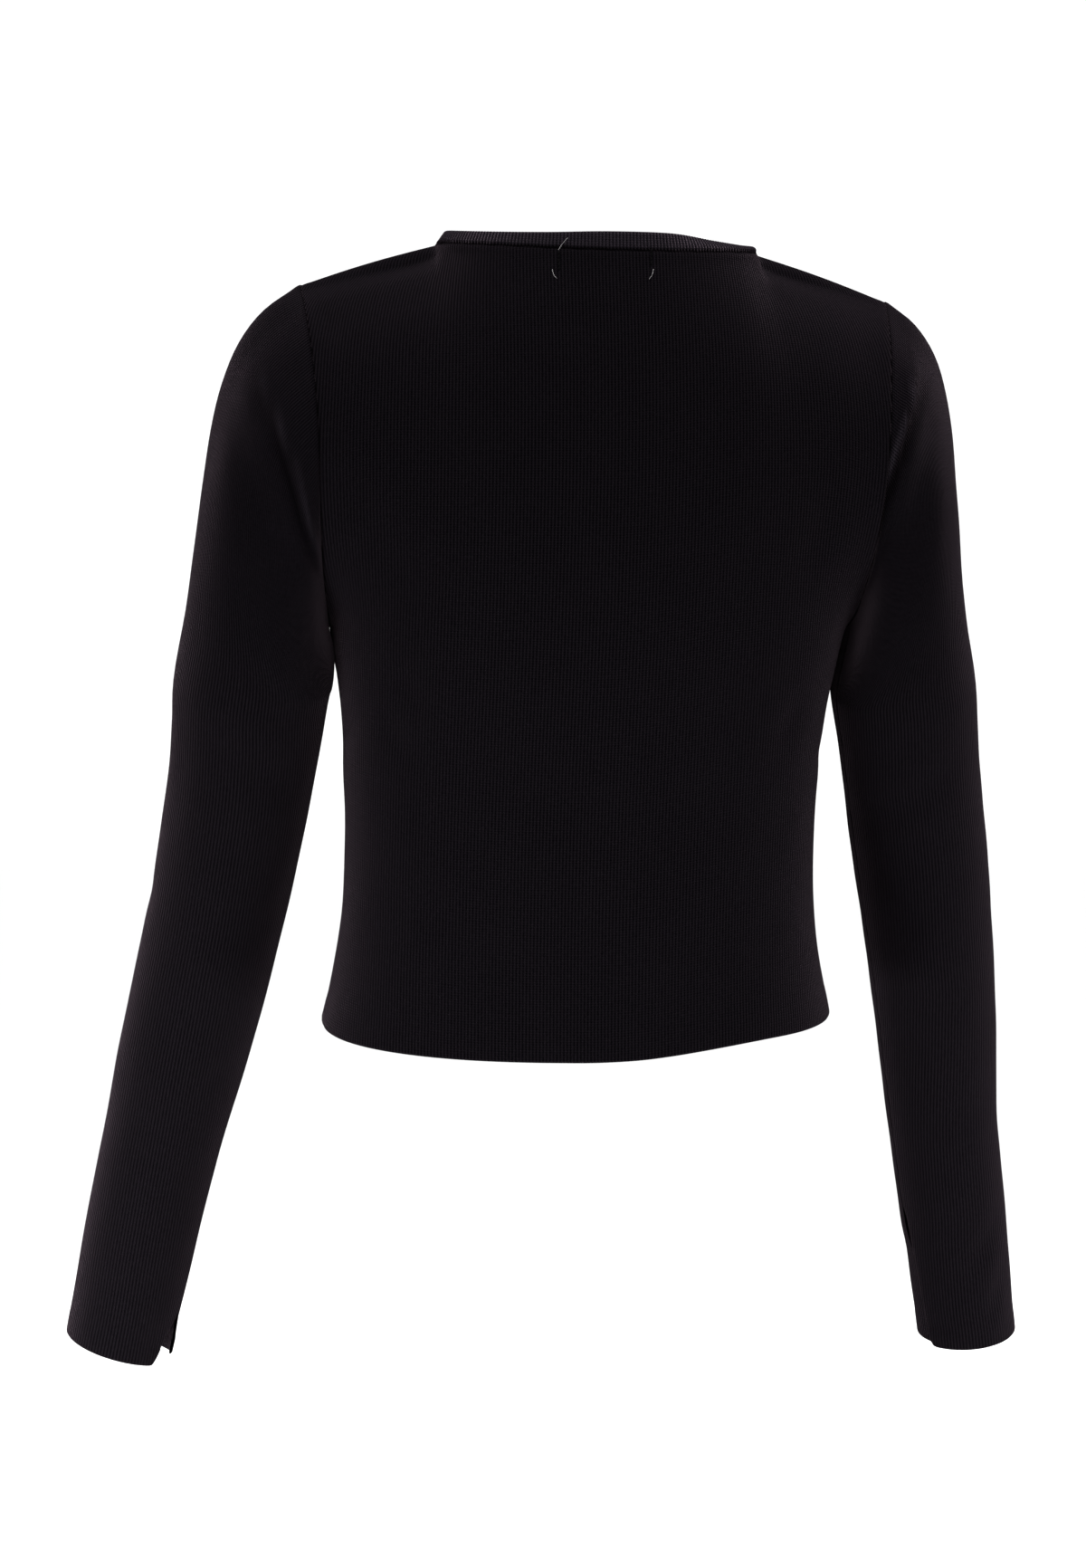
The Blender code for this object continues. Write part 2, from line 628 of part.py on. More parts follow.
def plastic_material():
    """Black plastic for the buttons."""
    made = bpy.data.materials.new("black_plastic")
    made.use_nodes = True
    shader = made.node_tree.nodes["Principled BSDF"]
    shader.inputs["Base Color"].default_value = (0.010, 0.009, 0.010, 1)
    shader.inputs["Roughness"].default_value = 0.35
    shader.inputs["Metallic"].default_value = 0.0
    return made


def clear_scene():
    """Removes whatever the scene starts with."""
    for thing in list(bpy.data.objects):
        bpy.data.objects.remove(thing)


def build():
    """Makes every piece of the cardigan."""
    clear_scene()
    knit = knit_material()
    grids, normals = body_panels()
    low = range(ROWS_BELOW_ARM + 1)
    shoulder = range(COLUMNS_TO_NECK + 1)
    last = grids["back"].shape[1] - 1
    half_gap = SEAM_GAP / 2
    loops = {
        "sleeve_left": armhole_loop(grids, normals, "front_left", 0),
        "sleeve_right": armhole_loop(grids, normals, "front_right", last),
    }
    sleeve("sleeve_left", *loops["sleeve_left"], LEFT_ARM, LEFT_FOLD, 1, knit)
    sleeve("sleeve_right", *loops["sleeve_right"], RIGHT_ARM, RIGHT_FOLD, -1, knit)
    tops = [*shoulder, *(last - c for c in shoulder)]
    back = pull_in(grids["back"], half_gap, low, low, tops)
    grid_wall("back", back, normals["back"], knit)
    for name in ("front_left", "front_right"):
        front = pull_in(grids[name], half_gap, low, (), shoulder)
        grid_wall(name, front, normals[name], knit)
    sections, directions = neckband_sections(grids, normals)
    neckband(sections, directions, knit)
    line, out = front_line(grids, normals, sections, directions)
    front_band("buttonhole_band", line, out, BAND_OFFSET, knit)
    front_band("button_band", line, out, -BAND_OFFSET, knit)
    black = plastic_material()
    travel = np.concatenate([[0], np.linalg.norm(np.diff(line, axis=0), axis=1).cumsum()])
    for k, at in enumerate(np.linspace(travel[-1] - TOP_BUTTON_DROP, LOW_BUTTON_RISE, BUTTON_COUNT)):
        place = np.array([np.interp(at, travel, line[:, axis]) for axis in range(3)])
        facing_out = unit(np.array([np.interp(at, travel, out[:, axis]) for axis in range(3)]))
        button(f"button_{k + 1}", place + facing_out * (BAND_OFFSET + BUTTON_GAP), facing_out, black)


build()
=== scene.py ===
"""The looks of the cropped black rib-knit cardigan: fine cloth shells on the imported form, ribs, seams,
creases, stitches, buttons, camera and light. x is the wearer's left, y the back, z up, in metres."""
import math

import bpy
import numpy as np
from mathutils import Matrix, Vector


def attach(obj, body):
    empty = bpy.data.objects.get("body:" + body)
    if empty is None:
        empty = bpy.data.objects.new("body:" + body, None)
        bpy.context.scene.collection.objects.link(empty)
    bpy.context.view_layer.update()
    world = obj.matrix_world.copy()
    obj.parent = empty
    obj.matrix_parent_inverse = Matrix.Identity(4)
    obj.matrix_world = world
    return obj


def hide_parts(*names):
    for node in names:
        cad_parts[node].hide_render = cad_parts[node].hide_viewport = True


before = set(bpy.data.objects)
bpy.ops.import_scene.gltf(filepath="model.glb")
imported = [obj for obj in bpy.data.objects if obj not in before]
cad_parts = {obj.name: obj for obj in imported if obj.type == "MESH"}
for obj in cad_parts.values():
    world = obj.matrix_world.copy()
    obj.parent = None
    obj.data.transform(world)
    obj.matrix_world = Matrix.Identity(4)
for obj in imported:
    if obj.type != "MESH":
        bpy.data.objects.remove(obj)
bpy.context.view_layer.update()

# Driving dimensions
WALL = 0.0016
SEAM_GAP = 0.00036
NECK_HALF_WIDTH = 0.091
NECK_POINT_Y = 0.004
SHOULDER_RISE = 0.0012
NECKBAND_SWELL = 0.00035
NECKBAND_GAP = 0.00042
BAND_HALF_WIDTH = 0.0090
BAND_OFFSET = 0.00105
BUTTON_COUNT = 7
BUTTON_RADIUS = 0.0056
BUTTON_THICKNESS = 0.0024
BUTTON_GAP = 0.0004
TOP_BUTTON_DROP = 0.014
LOW_BUTTON_RISE = 0.016
TORSO_FULLNESS = 2.3
SIDE_LEAN = 0.0125
SHOULDER_TILT = 0.0165
HEM_LIFT = 0.0080

# How finely the walls are divided
ROWS_BELOW_ARM = 11
ROWS_BESIDE_ARM = 14
COLUMNS_TO_NECK = 5
COLUMNS_ACROSS_NECK = 8
CAP_RINGS = 8
ARM_RINGS = 18
SLIT_COLUMN = 13
NECKBAND_STEPS = 3
PANEL_RELAXING = 4


def table(columns, rows):
    """A table as arrays, one for each named column."""
    return dict(zip(columns.split(), np.array(rows, float).T))


# Levels run from 0 at the hem, through 1 at the underarm, to 2 at the shoulder seam and the neckline.
SIDE_SEAM = table("level half_width y z", [
    (0, 0.1458, -0.045, -0.437),
    (0.07, 0.1425, -0.044, -0.421),
    (0.18, 0.1382, -0.042, -0.397),
    (0.3, 0.1354, -0.04, -0.37),
    (0.42, 0.1346, -0.038, -0.343),
    (0.54, 0.1349, -0.035, -0.316),
    (0.65, 0.1363, -0.031, -0.291),
    (0.76, 0.1376, -0.027, -0.266),
    (0.87, 0.141, -0.021, -0.241),
    (1, 0.1466, -0.012, -0.212),
])
CENTRE_LINES = table("level back_y back_z front_y front_z", [
    (0, 0.045, -0.4555, -0.128, -0.419),
    (0.18, 0.043, -0.413, -0.1245, -0.381),
    (0.42, 0.045, -0.357, -0.122, -0.33),
    (0.65, 0.052, -0.3035, -0.127, -0.282),
    (0.83, 0.063, -0.262, -0.134, -0.245),
    (1, 0.0735, -0.224, -0.1365, -0.211),
    (1.25, 0.0805, -0.178, -0.13, -0.175),
    (1.5, 0.085, -0.127, -0.116, -0.141),
    (1.75, 0.08, -0.066, -0.0985, -0.1085),
    (2, 0.0625, -0.0068, -0.079, -0.0765),
])
# The turn is how far round the body's side, in degrees, the armhole's edge has come.
ARMHOLE = table("level back_x back_y back_z back_turn front_x front_y front_z front_turn", [
    (1, 0.1466, -0.012, -0.212, 0, 0.1466, -0.012, -0.212, 0),
    (1.12, 0.1492, 0.008, -0.206, 14, 0.1458, -0.03, -0.206, 14),
    (1.28, 0.154, 0.0322, -0.18, 31, 0.1448, -0.047, -0.18, 32),
    (1.45, 0.1572, 0.0498, -0.147, 42, 0.145, -0.056, -0.148, 42),
    (1.62, 0.159, 0.0568, -0.112, 49, 0.148, -0.054, -0.113, 46),
    (1.78, 0.1612, 0.048, -0.078, 50, 0.154, -0.043, -0.079, 46),
    (1.9, 0.164, 0.028, -0.047, 50, 0.1605, -0.025, -0.048, 46),
    (2, 0.1665, 0, -0.0243, 50, 0.1665, 0, -0.0243, 46),
])
# The middle of each arm from the underarm to the cuff, with the sleeve's half width and half depth there.
LEFT_ARM = table("z x y half_width half_depth", [
    (-0.247, 0.193, -0.015, 0.044, 0.043),
    (-0.293, 0.197, -0.035, 0.0412, 0.042),
    (-0.345, 0.2048, -0.058, 0.04, 0.041),
    (-0.398, 0.2147, -0.08, 0.0389, 0.039),
    (-0.452, 0.2267, -0.1, 0.0372, 0.0365),
    (-0.506, 0.2388, -0.117, 0.0344, 0.034),
    (-0.561, 0.2501, -0.132, 0.033, 0.032),
    (-0.615, 0.2609, -0.145, 0.0314, 0.031),
    (-0.633, 0.2644, -0.149, 0.031, 0.031),
])
RIGHT_ARM = table("z x y half_width half_depth", [
    (-0.247, 0.1794, -0.015, 0.0415, 0.044),
    (-0.293, 0.188, -0.035, 0.0397, 0.043),
    (-0.345, 0.1983, -0.058, 0.0391, 0.0415),
    (-0.398, 0.2086, -0.08, 0.0371, 0.04),
    (-0.452, 0.2168, -0.1, 0.0349, 0.0375),
    (-0.506, 0.2243, -0.117, 0.0322, 0.035),
    (-0.561, 0.2337, -0.132, 0.0314, 0.033),
    (-0.615, 0.2421, -0.145, 0.0298, 0.032),
    (-0.631, 0.2447, -0.149, 0.0295, 0.032),
])

# The neckband from its left end (0) by the left neck point (1), the centre back (2) and the right neck
# point (3) to its right end (4): how steeply it stands, in degrees, and how wide it is.
NECKBAND = table("place stand height", [
    (0, 58, 0.0098),
    (0.6, 56, 0.0094),
    (1, 54, 0.0082),
    (1.5, 68, 0.0078),
    (1.75, 76, 0.0086),
    (2, 84, 0.0099),
    (2.25, 76, 0.0101),
    (2.5, 36, 0.0094),
    (3, 5, 0.0084),
    (3.4, 45, 0.0096),
    (4, 58, 0.0098),
])
# The soft ridge down the back of each sleeve from its cap to the armhole seam, with a trough outside it.
LEFT_FOLD = table("z x height width", [
    (-0.06, 0.195, 0, 0.011),
    (-0.09, 0.1884, 0.0022, 0.011),
    (-0.112, 0.1818, 0.0032, 0.011),
    (-0.14, 0.1757, 0.0036, 0.01),
    (-0.162, 0.1693, 0.0032, 0.009),
    (-0.192, 0.1592, 0.0016, 0.009),
    (-0.225, 0.153, 0, 0.009),
])
RIGHT_FOLD = table("z x height width", [
    (-0.055, 0.18, 0, 0.011),
    (-0.082, 0.1727, 0.002, 0.011),
    (-0.1, 0.168, 0.0028, 0.011),
    (-0.118, 0.164, 0.0032, 0.01),
    (-0.141, 0.16, 0.0026, 0.009),
    (-0.17, 0.154, 0.0012, 0.009),
    (-0.2, 0.15, 0, 0.009),
])
# For the left sleeve (1) and the right (-1): how far the cap swells at the shoulder, how far it is tucked
# in below it, and how far the underarm is pressed against the body. The cap leans in toward the arm's
# middle, and more so at the back.
CAP_SWELL = {1: 0.058, -1: 0.048}
CAP_TUCK = {1: 0.0110, -1: 0.0095}
UNDERARM_PRESS = {1: 0.0036, -1: 0.0}
CAP_LEAN = 0.12
BACK_CAP_LEAN = 0.20
# How much shorter each cuff is at its outer side and at its inner side.
OUTER_CUFF_RISE = {1: 0.0050, -1: 0.0}
INNER_CUFF_RISE = {1: 0.0, -1: 0.0025}


def smooth(keys, values, at):
    """A smooth curve through the values, read at other keys."""
    keys = np.asarray(keys, float)
    values = np.asarray(values, float).reshape(len(keys), -1)
    at = np.atleast_1d(np.asarray(at, float))
    slope = np.gradient(values, keys, axis=0)
    i = np.clip(np.searchsorted(keys, at, side="right") - 1, 0, len(keys) - 2)
    span = (keys[i + 1] - keys[i])[:, None]
    u = (at - keys[i])[:, None] / span
    start = (2 * u**3 - 3 * u**2 + 1) * values[i] + (u**3 - 2 * u**2 + u) * span * slope[i]
    end = (3 * u**2 - 2 * u**3) * values[i + 1] + (u**3 - u**2) * span * slope[i + 1]
    return start + end


def read(source, names, at):
    """The named columns of a table, read smoothly at values of its first column."""
    keys = list(source.values())[0]
    order = np.argsort(keys)
    columns = np.stack([source[name] for name in names.split()], axis=1)
    return smooth(keys[order], columns[order], at)


def between(at, keys, rows):
    """Rows of numbers read at other keys, straight from each given one to the next."""
    return np.stack([np.interp(at, keys, column) for column in np.asarray(rows).T], axis=-1)


def one_side(source, side):
    """The rows of a table that are for one sleeve."""
    return {key: value[source["side"] == side] for key, value in source.items()}


def unit(vectors):
    """The vectors at length one."""
    return vectors / np.maximum(np.linalg.norm(vectors, axis=-1, keepdims=True), 1e-12)


def ease(x):
    """A smooth step from 0 to 1."""
    x = np.clip(x, 0, 1)
    return x * x * (3 - 2 * x)


def bell(x):
    """A smooth bump, 1 at x = 0 and next to nothing beyond 2."""
    return np.exp(-(x**2))


def arc_shape(s, turn):
    """Shares of the way in and the way back for a round body's section, from its edge to its centre."""
    first = math.radians(turn)
    angle = first + s * (math.pi / 2 - first)
    power = 2 / TORSO_FULLNESS
    across = np.abs(np.cos(angle)) ** power / math.cos(first) ** power
    start = math.sin(first) ** power
    out = (np.abs(np.sin(angle)) ** power - start) / (1 - start)
    return np.stack([across, out, out], axis=1)


def relax(grid, times):
    """The grid with its inner points drawn toward their neighbours, its edges kept."""
    soft = grid.copy()
    for _ in range(times):
        mean = (soft[:-2, 1:-1] + soft[2:, 1:-1] + soft[1:-1, :-2] + soft[1:-1, 2:]) / 4
        soft[1:-1, 1:-1] += (mean - soft[1:-1, 1:-1]) / 2
    return soft


def top_shape(s, edge, middle):
    """The same shares for the top of a panel: the shoulder seam, then the neckline."""
    neck = COLUMNS_TO_NECK / (COLUMNS_TO_NECK + COLUMNS_ACROSS_NECK)
    shoulder = np.clip(s / neck, 0, 1)
    round_neck = np.clip((s - neck) / (1 - neck), 0, 1) * math.pi / 2
    seam = (
        edge[0] + (NECK_HALF_WIDTH - edge[0]) * shoulder,
        edge[1] + (NECK_POINT_Y - edge[1]) * shoulder,
        edge[2] * (1 - shoulder) + SHOULDER_RISE * np.sin(math.pi * shoulder),
    )
    neckline = (
        NECK_HALF_WIDTH * np.cos(round_neck),
        NECK_POINT_Y + (middle[1] - NECK_POINT_Y) * np.sin(round_neck),
        middle[2] * np.sin(round_neck) ** 1.5,
    )
    x, y, z = np.where(s > neck, neckline, seam)
    back_share = (y - edge[1]) / (middle[1] - edge[1])
    return np.stack([x / edge[0], back_share, (z - edge[2]) / (middle[2] - edge[2])], axis=1)


def half_row(level, side, s):
    """Points of one level of the back or front, from its edge at s = 0 to the centre line at s = 1."""
    at_edge = f"{side}_x {side}_y {side}_z"
    centre = read(CENTRE_LINES, f"{side}_y {side}_z", (level, 2))
    middle, top_middle = np.insert(centre, 0, 0.0, axis=1)
    if level <= 1:
        edge, turn, top_share = read(SIDE_SEAM, "half_width y z", level)[0], 0.0, 0.0
    else:
        edge, top_share = read(ARMHOLE, at_edge, level)[0], (level - 1) ** 2.5
        turn = read(ARMHOLE, f"{side}_turn", level)[0, 0]
    top_edge = read(ARMHOLE, at_edge, 2)[0]
    shape = arc_shape(s, turn) * (1 - top_share) + top_shape(s, top_edge, top_middle) * top_share
    way_in = np.array([1 - shape[:, 0], shape[:, 1], shape[:, 2]]).T
    return edge + (middle - edge) * way_in


def column_shares(level, side, cut):
    """Where the columns of a row lie between its edge and the centre line, ending at x = cut."""
    neck = COLUMNS_TO_NECK / (COLUMNS_TO_NECK + COLUMNS_ACROSS_NECK)
    dense = np.linspace(0, 1, 400)
    last = np.interp(-cut, -half_row(level, side, dense)[:, 0], dense)
    to_neck = np.linspace(0, neck, COLUMNS_TO_NECK + 1)
    return np.concatenate([to_neck, np.linspace(neck, last, COLUMNS_ACROSS_NECK + 1)[1:]])


def pose(points):
    """Leans the body a little to its left and tilts its shoulders, as the garment hangs."""
    points = np.array(points, float)
    shoulder = ease((points[..., 2] + 0.20) / 0.20)
    low = ease((-0.28 - points[..., 2]) / 0.14)
    right = ease(-points[..., 0] / 0.11)
    points[..., 0] -= SIDE_LEAN * points[..., 2]
    points[..., 2] += SHOULDER_TILT * points[..., 0] * shoulder + HEM_LIFT * low * right
    return points


def levels():
    """The levels of the body's rows, from the hem to the top."""
    low = np.linspace(0, 1, ROWS_BELOW_ARM + 1)
    return np.concatenate([low, np.linspace(1, 2, ROWS_BESIDE_ARM + 1)[1:]])


def half_panel(side, mirror, cut=0.0):
    """A grid of points from the side seam and armhole to x = cut, for one half of the back or front."""
    rows = [half_row(level, side, column_shares(level, side, cut)) for level in levels()]
    return np.array(rows) * np.array([mirror, 1, 1])


def grid_normals(grid, closed=False):
    """The outward or inward normal at each grid point, on one consistent side."""
    along = np.gradient(grid, axis=0)
    if closed:
        across = (np.roll(grid, -1, axis=1) - np.roll(grid, 1, axis=1)) / 2
    else:
        across = np.gradient(grid, axis=1)
    return unit(np.cross(along, across))


def facing(normals, wanted):
    """The normals, all turned over if they mostly point away from the wanted direction."""
    return normals if (normals * wanted).sum() > 0 else -normals


def body_panels():
    """The posed grids and normals of the back and the two fronts. Where two panels meet they share the mean
    of their normals, so that their walls end face to face."""
    left_back, right_back = half_panel("back", 1), half_panel("back", -1)
    back = np.concatenate([left_back, right_back[:, -2::-1]], axis=1)
    grids = {
        "back": pose(relax(back, PANEL_RELAXING)),
        "front_left": pose(relax(half_panel("front", 1, BAND_HALF_WIDTH + SEAM_GAP), PANEL_RELAXING)),
        "front_right": pose(relax(half_panel("front", -1, BAND_HALF_WIDTH + SEAM_GAP), PANEL_RELAXING)),
    }
    centre = np.array([0.0, -0.03, -0.2])
    normals = {
        name: facing(grid_normals(grid), (grid - centre) * np.array([1, 1, 0]))
        for name, grid in grids.items()
    }
    low = slice(0, ROWS_BELOW_ARM + 1)
    last = grids["back"].shape[1] - 1
    for name, edge in (("front_left", 0), ("front_right", last)):
        mean = unit(normals["back"][low, edge] + normals[name][low, 0])
        normals["back"][low, edge] = normals[name][low, 0] = mean
        for c in range(COLUMNS_TO_NECK + 1):
            mean = unit(normals["back"][-1, abs(edge - c)] + normals[name][-1, c])
            normals["back"][-1, abs(edge - c)] = normals[name][-1, c] = mean
    for name, offset in (("front_left", -BAND_OFFSET), ("front_right", BAND_OFFSET)):
        for column, share in ((-1, 1.0), (-2, 0.45), (-3, 0.1)):
            grids[name][:, column] += normals[name][:, column] * offset * share
    return grids, normals


def neck_edge(grids, normals):
    """The whole neckline from the left front to the right front: straight between the panels' points, then
    smooth, with its normals and places."""
    neck, end = COLUMNS_TO_NECK, COLUMNS_TO_NECK + COLUMNS_ACROSS_NECK
    last = grids["back"].shape[1] - 1
    runs = [
        ("front_left", range(end, neck, -1), np.linspace(0, 1, COLUMNS_ACROSS_NECK + 1)[:-1]),
        ("back", range(neck, last - neck + 1), np.linspace(1, 3, 2 * COLUMNS_ACROSS_NECK + 1)),
        ("front_right", range(neck + 1, end + 1), np.linspace(3, 4, COLUMNS_ACROSS_NECK + 1)[1:]),
    ]
    points = np.array([grids[name][-1, c] for name, columns, _ in runs for c in columns])
    directions = np.array([normals[name][-1, c] for name, columns, _ in runs for c in columns])
    places = np.concatenate([where for _, _, where in runs])
    index = np.arange(len(points))
    fine = np.linspace(0, index[-1], index[-1] * NECKBAND_STEPS + 1)
    out = unit(smooth(index, directions, fine))
    return between(fine, index, points), smooth(index, points, fine), out, np.interp(fine, index, places)


def neckband_sections(grids, normals):
    """Middle-layer points of the neckband and their outward directions, a row for each place round it."""
    base, edge, out, places = neck_edge(grids, normals)
    along = unit(np.gradient(edge, axis=0))
    along[[0, -1]] = np.array([1.0, 0.0, 0.0])
    leave = unit(np.cross(out, along))
    level = np.array([0.0, 0.0, 1.0])
    up = unit(level - along * (along @ level)[:, None])
    inward = np.cross(up, along)
    stand, height = read(NECKBAND, "stand height", places).T
    stand = np.radians(stand)[:, None]
    lean = np.cos(stand) * inward + np.sin(stand) * up
    sections = [base + leave * NECKBAND_GAP]
    reached = edge + leave * NECKBAND_GAP
    directions = [unit(np.cross(along, leave))]
    shares = np.array([0.0, 0.3, 0.65, 1.0])
    for before, after in zip(shares[:-1], shares[1:]):
        turned = ease((before + after) / 2 / 0.5)
        way = unit(leave * (1 - turned) + lean * turned)
        reached = reached + way * (after - before) * height[:, None]
        sections.append(reached)
        directions.append(unit(np.cross(along, way)))
    return np.stack(sections, axis=1), np.stack(directions, axis=1)


def front_line(grids, normals, sections, directions):
    """The centre line of the front opening, from hem to neckband top, and its outward directions."""
    left, right = grids["front_left"][:, -1], grids["front_right"][:, -1]
    line = (left + right) / 2
    out = unit(normals["front_left"][:, -1] + normals["front_right"][:, -1])
    line = np.concatenate([line, (sections[0, 1:] + sections[-1, 1:]) / 2])
    out = np.concatenate([out, unit(directions[0, 1:] + directions[-1, 1:])])
    out[:, 0] = 0
    return line, unit(out)


def fold_at(points, path, mirror):
    """How far points lie outside a fold's line, in its widths, and the fold's height there."""
    order = np.argsort(path["z"])
    keys = path["z"][order]
    columns = [path[name][order] for name in ("x", "height", "width")]
    x, height, width = (np.interp(points[..., 2], keys, column) for column in columns)
    return (points[..., 0] * mirror - x) / width, height


def fold(points, normals, path, mirror):
    """Raises a soft ridge along a path down the back of a sleeve, and sinks a trough beside it."""
    off, height = fold_at(points, path, mirror)
    behind = ease((normals[..., 1] - 0.1) / 0.5)
    raised = bell(off) - 0.55 * bell(off - 1.9)
    return points + normals * (raised * height * behind)[..., None]


def armhole_loop(grids, normals, name, edge):
    """The armhole's points and the body's normals there: down the back, then up the front."""
    up = slice(ROWS_BELOW_ARM, ROWS_BELOW_ARM + ROWS_BESIDE_ARM + 1)
    return [np.concatenate([of["back"][up, edge][::-1], of[name][up, 0][1:-1]]) for of in (grids, normals)]


def arm_frames(arm, mirror, heights):
    """Centres, arm directions, outward directions, backward directions and sizes of the sleeve's rings."""
    x, y, half_width, half_depth = read(arm, "x y half_width half_depth", heights).T
    centres = np.stack([mirror * x, y, heights], axis=1)
    step = 1e-4
    ahead = read(arm, "x y", heights - step)
    behind = read(arm, "x y", heights + step)
    slope = (ahead - behind) / (2 * step)
    down = unit(np.stack([mirror * slope[:, 0], slope[:, 1], -np.ones(len(heights))], axis=1))
    sideways = np.array([mirror, 0.0, 0.0])
    out = unit(sideways - down * (down @ sideways)[:, None])
    back = np.cross(out, down) * mirror
    return centres, down, out, back * np.sign(back[:, 1:2]), half_width, half_depth


def sleeve_grid(loop, arm, mirror):
    """The sleeve's rings: the cap from the armhole to the upper arm, then down the arm to the cuff."""
    count = len(loop)
    around = 2 * math.pi * np.arange(count) / count
    heights = np.linspace(arm["z"].max(), arm["z"].min(), ARM_RINGS + 1)
    centres, down, out, back, half_width, half_depth = arm_frames(arm, mirror, heights)
    tube = (
        centres[:, None]
        + (half_width[:, None] * np.cos(around))[..., None] * out[:, None]
        + (half_depth[:, None] * np.sin(around))[..., None] * back[:, None]
    )
    top_share = ((1 + np.cos(around)) / 2)[:, None]
    rise = OUTER_CUFF_RISE[mirror] * top_share + INNER_CUFF_RISE[mirror] * (1 - top_share)
    near_cuff = ease((np.arange(ARM_RINGS + 1) / ARM_RINGS - 0.75) / 0.25)
    tube -= near_cuff[:, None, None] * rise[None] * down[:, None]
    fall = np.radians(28 + 60 * (1 - top_share[:, 0]))
    lean = (CAP_LEAN + BACK_CAP_LEAN * np.maximum(np.sin(around), 0)) * np.sin(around)
    leave = unit(np.stack([mirror * np.cos(fall), -lean, -np.sin(fall)], axis=1))
    press = np.array([mirror, 0, 0]) * UNDERARM_PRESS[mirror] * (1 - top_share) ** 3
    first_handle = loop + leave * (0.012 + CAP_SWELL[mirror] * top_share**0.8)
    above = down[0] * (0.014 + 0.106 * top_share)
    last_handle = tube[0] - above - out[0] * CAP_TUCK[mirror] * top_share - press
    rings = []
    for t in np.linspace(0, 1, CAP_RINGS + 1)[:-1]:
        rings.append(
            (1 - t) ** 3 * loop
            + 3 * t * (1 - t) ** 2 * first_handle
            + 3 * t**2 * (1 - t) * last_handle
            + t**3 * tube[0]
        )
    return np.concatenate([np.array(rings), tube])


def outward_of_tube(grid):
    """The normals of a closed tube, pointing out of it."""
    middle = grid.mean(axis=1, keepdims=True)
    return facing(grid_normals(grid, closed=True), grid - middle)


# The photograph's camera
VIEW_TURN = math.radians(7)
VIEW_DISTANCE = 2.6
METRES_PER_PIXEL = 0.00051
VIEW_SIDE = 0.0296
VIEW_HEIGHT = -0.301
FRAME_WIDTH = 1200
FRAME_HEIGHT = 1732
BACK_WAY = np.array([math.sin(VIEW_TURN), math.cos(VIEW_TURN), 0.0])
RIGHT_WAY = np.array([-math.cos(VIEW_TURN), math.sin(VIEW_TURN), 0.0])
EYE = VIEW_DISTANCE * BACK_WAY - VIEW_SIDE * RIGHT_WAY + np.array([0.0, 0.0, VIEW_HEIGHT])
FOCAL_PIXELS = VIEW_DISTANCE / METRES_PER_PIXEL

# The floor and the light: each lamp's name, place, size and power, and the point that it is turned to
FLOOR = -0.90
FLOOR_REACH = 30.0
FLOOR_TONE = 0.98
WORLD_LIGHT = 1.12
MIDDLE = (0.0, 0.0, -0.3)
SHOULDERS = (0.0, 0.0, -0.02)
LAMPS = (
    ("left", (2.3, 0.6, 0.35), 2.0, 13.0, MIDDLE),
    ("right", (-2.3, 0.6, 0.35), 2.0, 40.0, MIDDLE),
    ("back", (0.3, 1.5, 1.5), 1.4, 36.0, SHOULDERS),
    ("front", (-0.6, -2.7, 0.7), 2.0, 30.0, MIDDLE),
    ("top", (0.0, 0.1, 1.0), 1.0, 55.0, MIDDLE),
    ("left_cuff", (0.58, 0.28, -0.78), 0.3, 19.0, (0.26, -0.15, -0.60)),
    ("right_cuff", (-0.56, 0.28, -0.78), 0.3, 13.0, (-0.24, -0.15, -0.60)),
)

# The knit
RIB_PITCH = 0.0019
STITCH_PITCH = 0.0014
RIB_HEIGHT = 0.00030
NECK_RIB_HEIGHT = 0.00050
POINTS_TO_A_RIB = 6
BAND_RIBS = 9
PANEL_STEPS = 4
SLEEVE_STEPS = 4
STEPS_ROUND_SLEEVE = 8
SOFTENING = 110
# The knit's darkest and lightest colours; its relief darkens the troughs, a painted shade, and random
# patches and grain vary its own tone
KNIT_DARK = (0.0002, 0.0002, 0.0003)
KNIT_LIGHT = (0.0022, 0.0018, 0.0023)
STITCH_SHARE = 0.30
FUZZ_SHARE = 0.35
FUZZ_SCALE = 2600.0
# How much the relief darkens the colour in its troughs: painted shade
RELIEF_SHARE = 0.55
RELIEF_STRENGTH = 0.55
RELIEF_DISTANCE = 0.00080
PATCH_SHARE = 0.08
PATCH_SCALE = 34.0
GRAIN_SHARE = 0.27
GRAIN_SCALE = 620.0
UNEVENNESS = 0.00025
FOLD_SHARE = 0.55
# The fold's height at which its painted highlight and shadow are at full strength
FOLD_HEIGHT = 0.0024

# The seams, the turned hems and the rounded edges, and how far from an edge each of them reaches
SEAM_FADE = 0.014
SEAM_GROOVE = 0.00028
SEAM_GROOVE_WIDTH = 0.0009
SEAM_RIDGE = 0.00012
SEAM_RIDGE_PLACE = 0.0034
SEAM_RIDGE_WIDTH = 0.0024
# How far the painted shadow beside a seam reaches
SEAM_SHADOW = 0.0007
NECK_GROOVE = -0.0006
NECK_GROOVE_WIDTH = 0.0014
HEM_HEIGHT = 0.0125
HEM_FULLNESS = 0.00022
HEM_GROOVE = 0.00035
HEM_GROOVE_WIDTH = 0.0010
EDGE_ROUNDING = 0.42
ROUNDED_EDGE = 0.0012
HEM_STEP = 0.002
SLIT_CORNER = 0.008
SLIT_DRAWN_BACK = 0.02
ARMHOLE_FADE = 0.008
UNDERARM_HELD = 0.01
# How far from the armhole seam the painted shadow under the arm reaches
UNDERARM_SHADOW = 0.022
EASED_BELOW_TOP = 0.010
EASED_ROUND_NECK_POINT = 0.05
NECKBAND_TUCK = 0.0012
NECKBAND_SINK = 0.0002

